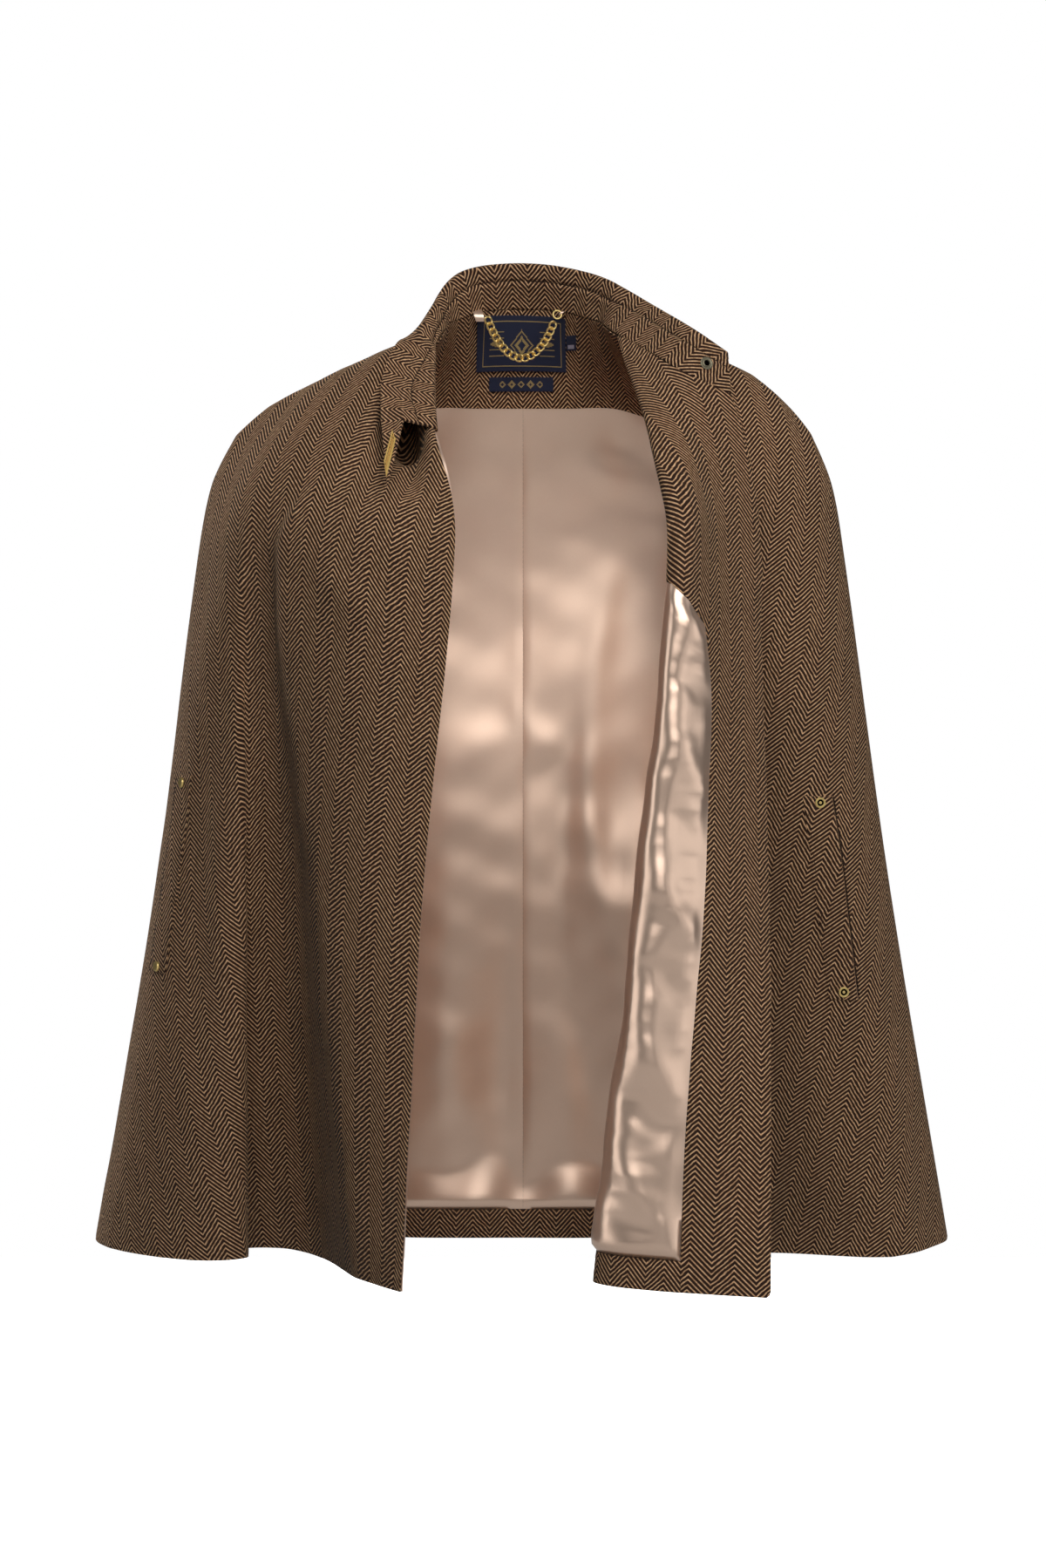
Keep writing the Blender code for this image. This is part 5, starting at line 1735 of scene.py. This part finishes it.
def pick_verts(piece, test):
    """Select the vertices of the piece in edit whose place passes a test."""
    bpy.ops.mesh.select_mode(type="VERT")
    bpy.ops.mesh.select_all(action="DESELECT")
    bpy.ops.object.mode_set(mode="OBJECT")
    for vert in piece.data.vertices:
        vert.select = bool(test(vert.co))
    bpy.ops.object.mode_set(mode="EDIT")


def apply_modifier(piece, kind, **settings):
    """Add a modifier to a piece and apply it."""
    select_only(piece)
    modifier = piece.modifiers.new(kind.lower(), kind)
    for key, value in settings.items():
        setattr(modifier, key, value)
    bpy.ops.object.modifier_apply(modifier=modifier.name)


def copy_piece(piece, name, matrix):
    """Copy of a piece with its own mesh, its place in the mesh."""
    made = bpy.data.objects.new(name, piece.data.copy())
    made.data.name = name
    made.data.transform(matrix)
    bpy.context.scene.collection.objects.link(made)
    return made


def seat(spot, axis, spin=0.0):
    """Matrix that sets a piece made along Z on a spot in mm along an axis."""
    turn = Vector(axis).to_track_quat("Z", "Y").to_matrix().to_4x4()
    return Matrix.Translation(Vector(spot) * MM) @ turn @ Matrix.Rotation(spin, 4, "Z")


class CAPE_OT_snaps(bpy.types.Operator):
    """Set the snaps: caps on the right welt, rings on the left, the socket on the collar."""

    bl_idname = "cape.snaps"
    bl_label = "Snaps"

    def execute(self, context):
        trim = context.scene.cape_trim
        cap = self.cap(trim.snap_radius)
        ring = self.ring(trim.snap_radius)
        socket = self.socket(trim.socket_radius)
        settings = context.scene.cape_cloth
        height = (settings.tweed_gauge + settings.welt_gauge) / MM + WELT_LIFT + SNAP_LIFT
        for side, model in (("right", cap), ("left", ring)):
            cloth = panel_cloth(side)
            columns = PANELS[side].columns
            across = column_index(columns, "welt") + SNAP_COLUMN
            for place, row in (("upper", SLIT_TOP_ROW + SNAP_ROW), ("lower", SLIT_END_ROW - SNAP_ROW)):
                spot, face = cloth_spot(cloth, row, across)
                node = side + "_" + place + "_snap"
                piece = copy_piece(model, node + "_metal", seat(spot + face * height, face))
                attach(piece, "root")
                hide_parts(node)
        cloth = collar_cloth()
        spot, face = cloth_spot(cloth, len(cloth.down) - COLLAR_SNAP_ROWS, COLLAR_SNAP_COLUMN)
        piece = copy_piece(socket, "collar_snap_metal", seat(spot - face * COLLAR_SNAP_LIFT, -face))
        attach(piece, "root")
        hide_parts("collar_snap")
        for model in (cap, ring, socket):
            bpy.data.objects.remove(model)
        return {"FINISHED"}

    def disc(self, name, radius, depth, surface):
        """Round start of a snap, standing on the ground plane."""
        bpy.ops.object.select_all(action="DESELECT")
        bpy.ops.mesh.primitive_cylinder_add(vertices=40, radius=radius, depth=depth,
                                            location=(0, 0, depth / 2))
        bpy.ops.object.transform_apply(location=True)
        piece = bpy.context.object
        piece.name = name
        piece.data.materials.append(shared_material(surface))
        # Second slot: near-black painted shade for the floor of a well or hole.
        piece.data.materials.append(shared_material("painted_shade_well"))
        edit_piece(piece)
        bpy.ops.mesh.select_mode(type="FACE")
        pick_faces(piece, lambda middle, normal: normal.z > 0.9)
        return piece

    def step(self, inset, rise):
        """Inset the selected top face and move the inner face up or down."""
        bpy.ops.mesh.inset(thickness=inset)
        if rise:
            bpy.ops.mesh.extrude_region_move(TRANSFORM_OT_translate={"value": (0, 0, rise)})

    def finish(self, piece, edge):
        """Round the edges of a snap and smooth it."""
        bpy.ops.object.mode_set(mode="OBJECT")
        apply_modifier(piece, "BEVEL", width=edge, segments=3, limit_method="ANGLE", angle_limit=0.6)
        bpy.ops.object.shade_smooth_by_angle(angle=0.7)
        return piece

    def cap(self, radius):
        """Plain cap with a low step under its face."""
        piece = self.disc("snap_cap", radius, 0.0009, "gold_plate")
        self.step(0.0005, 0.0006)
        self.step(0.0009, 0.0)
        bpy.ops.transform.translate(value=(0, 0, 0.0001))
        return self.finish(piece, 0.00022)

    def ring(self, radius):
        """Rolled ring round a well with a small post in it; the floor of the well is painted near black as
        shade.
        """
        piece = self.disc("snap_ring", radius, 0.0012, "gold_plate")
        self.step(radius * 0.34, -0.0009)
        # The floor of the well takes the painted shade.
        piece.active_material_index = 1
        bpy.ops.object.material_slot_assign()
        self.step(radius * 0.36, 0.0004)
        piece.active_material_index = 0
        bpy.ops.object.material_slot_assign()
        return self.finish(piece, 0.0003)

    def socket(self, radius):
        """Socket with a raised lip round a deep hole, whose floor is painted near black as shade."""
        piece = self.disc("snap_socket", radius, 0.0009, "antique_bronze")
        self.step(radius * 0.22, -0.0002)
        self.step(radius * 0.18, 0.0007)
        self.step(radius * 0.14, -0.0013)
        # The floor of the hole takes the painted shade.
        piece.active_material_index = 1
        bpy.ops.object.material_slot_assign()
        return self.finish(piece, 0.00018)


class CAPE_OT_chain(bpy.types.Operator):
    """Hang the curb chain between its satin tab and its ring."""

    bl_idname = "cape.chain"
    bl_label = "Hanger chain"

    def execute(self, context):
        trim = context.scene.cape_trim
        gold = shared_material("gold_plate")
        path = self.path()
        link = self.link(trim, gold)
        run = runs_along(path)
        count = int(run[-1] / (trim.link_pitch / MM))
        for i in range(count):
            at = run[-1] * (i + 0.5) / count
            spot = along_line(at, run, path)
            along = Vector(along_line(at + 2, run, path) - along_line(at - 2, run, path)).normalized()
            face = Vector((0, -1, 0))
            side = face.cross(along)
            turn = Matrix((along, side, face)).transposed().to_4x4()
            piece = copy_piece(link, f"hanger_chain_link_{i + 1:02d}",
                               Matrix.Translation(Vector(spot) * MM) @ turn)
            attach(piece, "root")
            if i == 0:
                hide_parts("hanger_chain")
        bpy.data.objects.remove(link)
        self.ring(trim, gold)
        self.tapes()
        return {"FINISHED"}

    def path(self):
        """Line of the hanging chain."""
        start = Vector((CHAIN_RIGHT[0] + CHAIN_START[0], 0, CHAIN_RIGHT[1] + CHAIN_START[1]))
        end = Vector((CHAIN_LEFT[0] + CHAIN_END[0], 0, CHAIN_LEFT[1] + CHAIN_END[1]))
        depth = chain_depth()
        points = []
        for f in np.linspace(0, 1, 49):
            spot = start.lerp(end, f)
            spot.z += (CHAIN_LOW - (start.z + end.z) / 2) * (1 - (2 * f - 1) ** 2) ** CHAIN_BOW
            points.append((spot.x, depth, spot.z))
        return np.array(points)

    def link(self, trim, surface):
        """Round wire link, drawn out and twisted as in a curb chain."""
        wire = trim.link_wire / 2
        half = trim.link_width / 2 - wire
        stretch = trim.link_pitch / 2 + wire - half
        bpy.ops.object.select_all(action="DESELECT")
        bpy.ops.mesh.primitive_torus_add(major_radius=half, minor_radius=wire,
                                         major_segments=32, minor_segments=12)
        piece = bpy.context.object
        piece.name = "chain_link"
        edit_piece(piece)
        for way in (1, -1):
            pick_verts(piece, lambda spot: spot.x * way > half * 0.1)
            bpy.ops.transform.translate(value=(way * stretch, 0, 0))
        bpy.ops.object.mode_set(mode="OBJECT")
        apply_modifier(piece, "SIMPLE_DEFORM", deform_method="TWIST", deform_axis="X", angle=LINK_TWIST)
        bpy.ops.object.shade_smooth()
        piece.data.materials.append(surface)
        return piece

    def ring(self, trim, surface):
        """Jump ring that holds the chain's end."""
        bpy.ops.object.select_all(action="DESELECT")
        bpy.ops.mesh.primitive_torus_add(major_radius=trim.ring_radius, minor_radius=trim.ring_wire / 2,
                                         major_segments=48, minor_segments=12)
        piece = bpy.context.object
        edit_piece(piece)
        bpy.ops.mesh.select_mode(type="FACE")
        pick_faces(piece, lambda middle, normal: middle.x > 0 and 0 < middle.y < trim.ring_wire * 0.45)
        bpy.ops.mesh.delete(type="FACE")
        bpy.ops.mesh.select_mode(type="EDGE")
        bpy.ops.mesh.select_all(action="DESELECT")
        bpy.ops.mesh.select_non_manifold()
        bpy.ops.mesh.fill_holes(sides=16)
        bpy.ops.object.mode_set(mode="OBJECT")
        bpy.ops.object.shade_smooth_by_angle(angle=0.8)
        hub = (CHAIN_LEFT[0] + RING_HUB[0], chain_depth(), CHAIN_LEFT[1] + RING_HUB[1])
        ring = copy_piece(piece, "chain_ring_metal", seat(hub, RING_FACE, RING_SPIN))
        ring.data.materials.append(surface)
        bpy.data.objects.remove(piece)
        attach(ring, "root")
        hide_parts("chain_ring")

    def tapes(self):
        """Satin tapes that come out of the neck seam and hold the chain."""
        depth = chain_depth()
        for tape in TAPES:
            line = smooth_row([Vector((0, depth + y, z)) for y, z in tape.profile], 4)
            across = tape.wide * np.linspace(-0.5, 0.5, TAPE_COLUMNS + 1)
            places = np.array([[(tape.x + shift - tape.lean * (spot.z + 6), spot.y, spot.z)
                                for shift in across] for spot in line])
            along = np.linspace(0, TAPE_LENGTH, len(line))
            grain = np.stack(np.meshgrid(across + tape.wide / 2, -along), axis=-1)
            cloth = Cloth(places, face_of(places), grain, [1] * (len(line) - 1), [1] * TAPE_COLUMNS)
            mask = np.ones((len(line) - 1, TAPE_COLUMNS), bool)
            piece = shell(tape.name, cloth, mask, -TAPE_HALF_GAUGE, TAPE_HALF_GAUGE,
                          shared_material("champagne_satin"))
            if tape.name == "chain_tab_cloth":
                declare_cloth(piece, "chain_tab", cloth, mask)
            else:
                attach(piece, "root")


def chain_depth():
    """Depth of the chain: clear of the cloth at both its ends."""
    grid = panel_cloth("back")
    ends = [cloth_spot(grid, *back_spot(grid, x, z))[0][1] for x, z in (CHAIN_RIGHT, CHAIN_LEFT)]
    return min(ends) - CHAIN_CLEAR


class CAPE_OT_plaque(bpy.types.Operator):
    """Fix the openwork metal strip to the end of the right collar leaf."""

    bl_idname = "cape.plaque"
    bl_label = "Collar plaque"

    def execute(self, context):
        bpy.ops.object.select_all(action="DESELECT")
        bpy.ops.mesh.primitive_grid_add(x_subdivisions=18, y_subdivisions=66, size=2)
        piece = context.object
        edit_piece(piece)
        bpy.ops.mesh.select_mode(type="FACE")
        pick_faces(piece, self.open_place)
        bpy.ops.mesh.delete(type="FACE")
        bpy.ops.object.mode_set(mode="OBJECT")
        cloth = collar_cloth()
        for vert in piece.data.vertices:
            back = (vert.co.x + 1) / 2
            row = np.interp(vert.co.x, (-1, 1), PLAQUE_ROWS)
            column = np.interp(vert.co.y, (-1, 1), PLAQUE_COLUMNS)
            spot, face = cloth_spot(cloth, row, column)
            bow = PLAQUE_BOW * math.cos(vert.co.x * math.pi / 2)
            vert.co = Vector(spot - face * (PLAQUE_LIFT + bow + PLAQUE_TURN * back)) * MM
        apply_modifier(piece, "SOLIDIFY", thickness=PLAQUE_GAUGE * MM, offset=1.0)
        edit_piece(piece)
        bpy.ops.mesh.select_all(action="SELECT")
        bpy.ops.mesh.normals_make_consistent(inside=False)
        bpy.ops.object.mode_set(mode="OBJECT")
        apply_modifier(piece, "BEVEL", width=0.0002, segments=2, limit_method="ANGLE")
        bpy.ops.object.shade_smooth_by_angle(angle=0.8)
        piece.name = "collar_plaque_metal"
        piece.data.materials.append(shared_material("bright_gold"))
        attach(piece, "root")
        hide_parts("collar_plaque")
        return {"FINISHED"}

    def open_place(self, middle, _):
        """Whether a cell of the strip is cut away: a row of petals between rails."""
        beat = (middle.y * PLAQUE_BEATS + 0.5) % 1 - 0.5
        petal = (beat / 0.3) ** 2 + ((abs(middle.x) - 0.36) / 0.24) ** 2 < 1
        eye = (((beat + 1) % 1 - 0.5) / 0.16) ** 2 + (middle.x / 0.3) ** 2 < 1
        return petal or eye


class CAPE_PT_panel(bpy.types.Panel):
    """Sidebar panel with the cape's settings and pieces."""

    bl_idname = "CAPE_PT_panel"
    bl_label = "Cape"
    bl_space_type = "VIEW_3D"
    bl_region_type = "UI"
    bl_category = "Cape"

    def draw(self, context):
        layout = self.layout
        for group in (context.scene.cape_cloth, context.scene.cape_trim, context.scene.cape_stage):
            box = layout.box()
            for name in group.__annotations__:
                box.prop(group, name)
        for operator in OPERATORS:
            layout.operator(operator.bl_idname)


OPERATORS = (CAPE_OT_stage, CAPE_OT_outer_cloth, CAPE_OT_facings, CAPE_OT_lining, CAPE_OT_collar,
             CAPE_OT_welts, CAPE_OT_labels, CAPE_OT_chain, CAPE_OT_snaps, CAPE_OT_plaque)
CLASSES = (CapeClothSettings, CapeTrimSettings, CapeStageSettings, *OPERATORS, CAPE_PT_panel)


def register():
    """Register the classes and hang the settings on the scene."""
    for item in CLASSES:
        bpy.utils.register_class(item)
    bpy.types.Scene.cape_cloth = PointerProperty(type=CapeClothSettings)
    bpy.types.Scene.cape_trim = PointerProperty(type=CapeTrimSettings)
    bpy.types.Scene.cape_stage = PointerProperty(type=CapeStageSettings)


def unregister():
    """Take the settings and the classes away again."""
    del bpy.types.Scene.cape_stage
    del bpy.types.Scene.cape_trim
    del bpy.types.Scene.cape_cloth
    for item in reversed(CLASSES):
        bpy.utils.unregister_class(item)


def main():
    """Dress the frame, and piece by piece."""
    register()
    bpy.ops.cape.stage()
    bpy.ops.cape.outer_cloth()
    bpy.ops.cape.facings()
    bpy.ops.cape.lining()
    bpy.ops.cape.collar()
    bpy.ops.cape.welts()
    bpy.ops.cape.labels()
    bpy.ops.cape.chain()
    bpy.ops.cape.snaps()
    bpy.ops.cape.plaque()


if __name__ == "__main__":
    main()
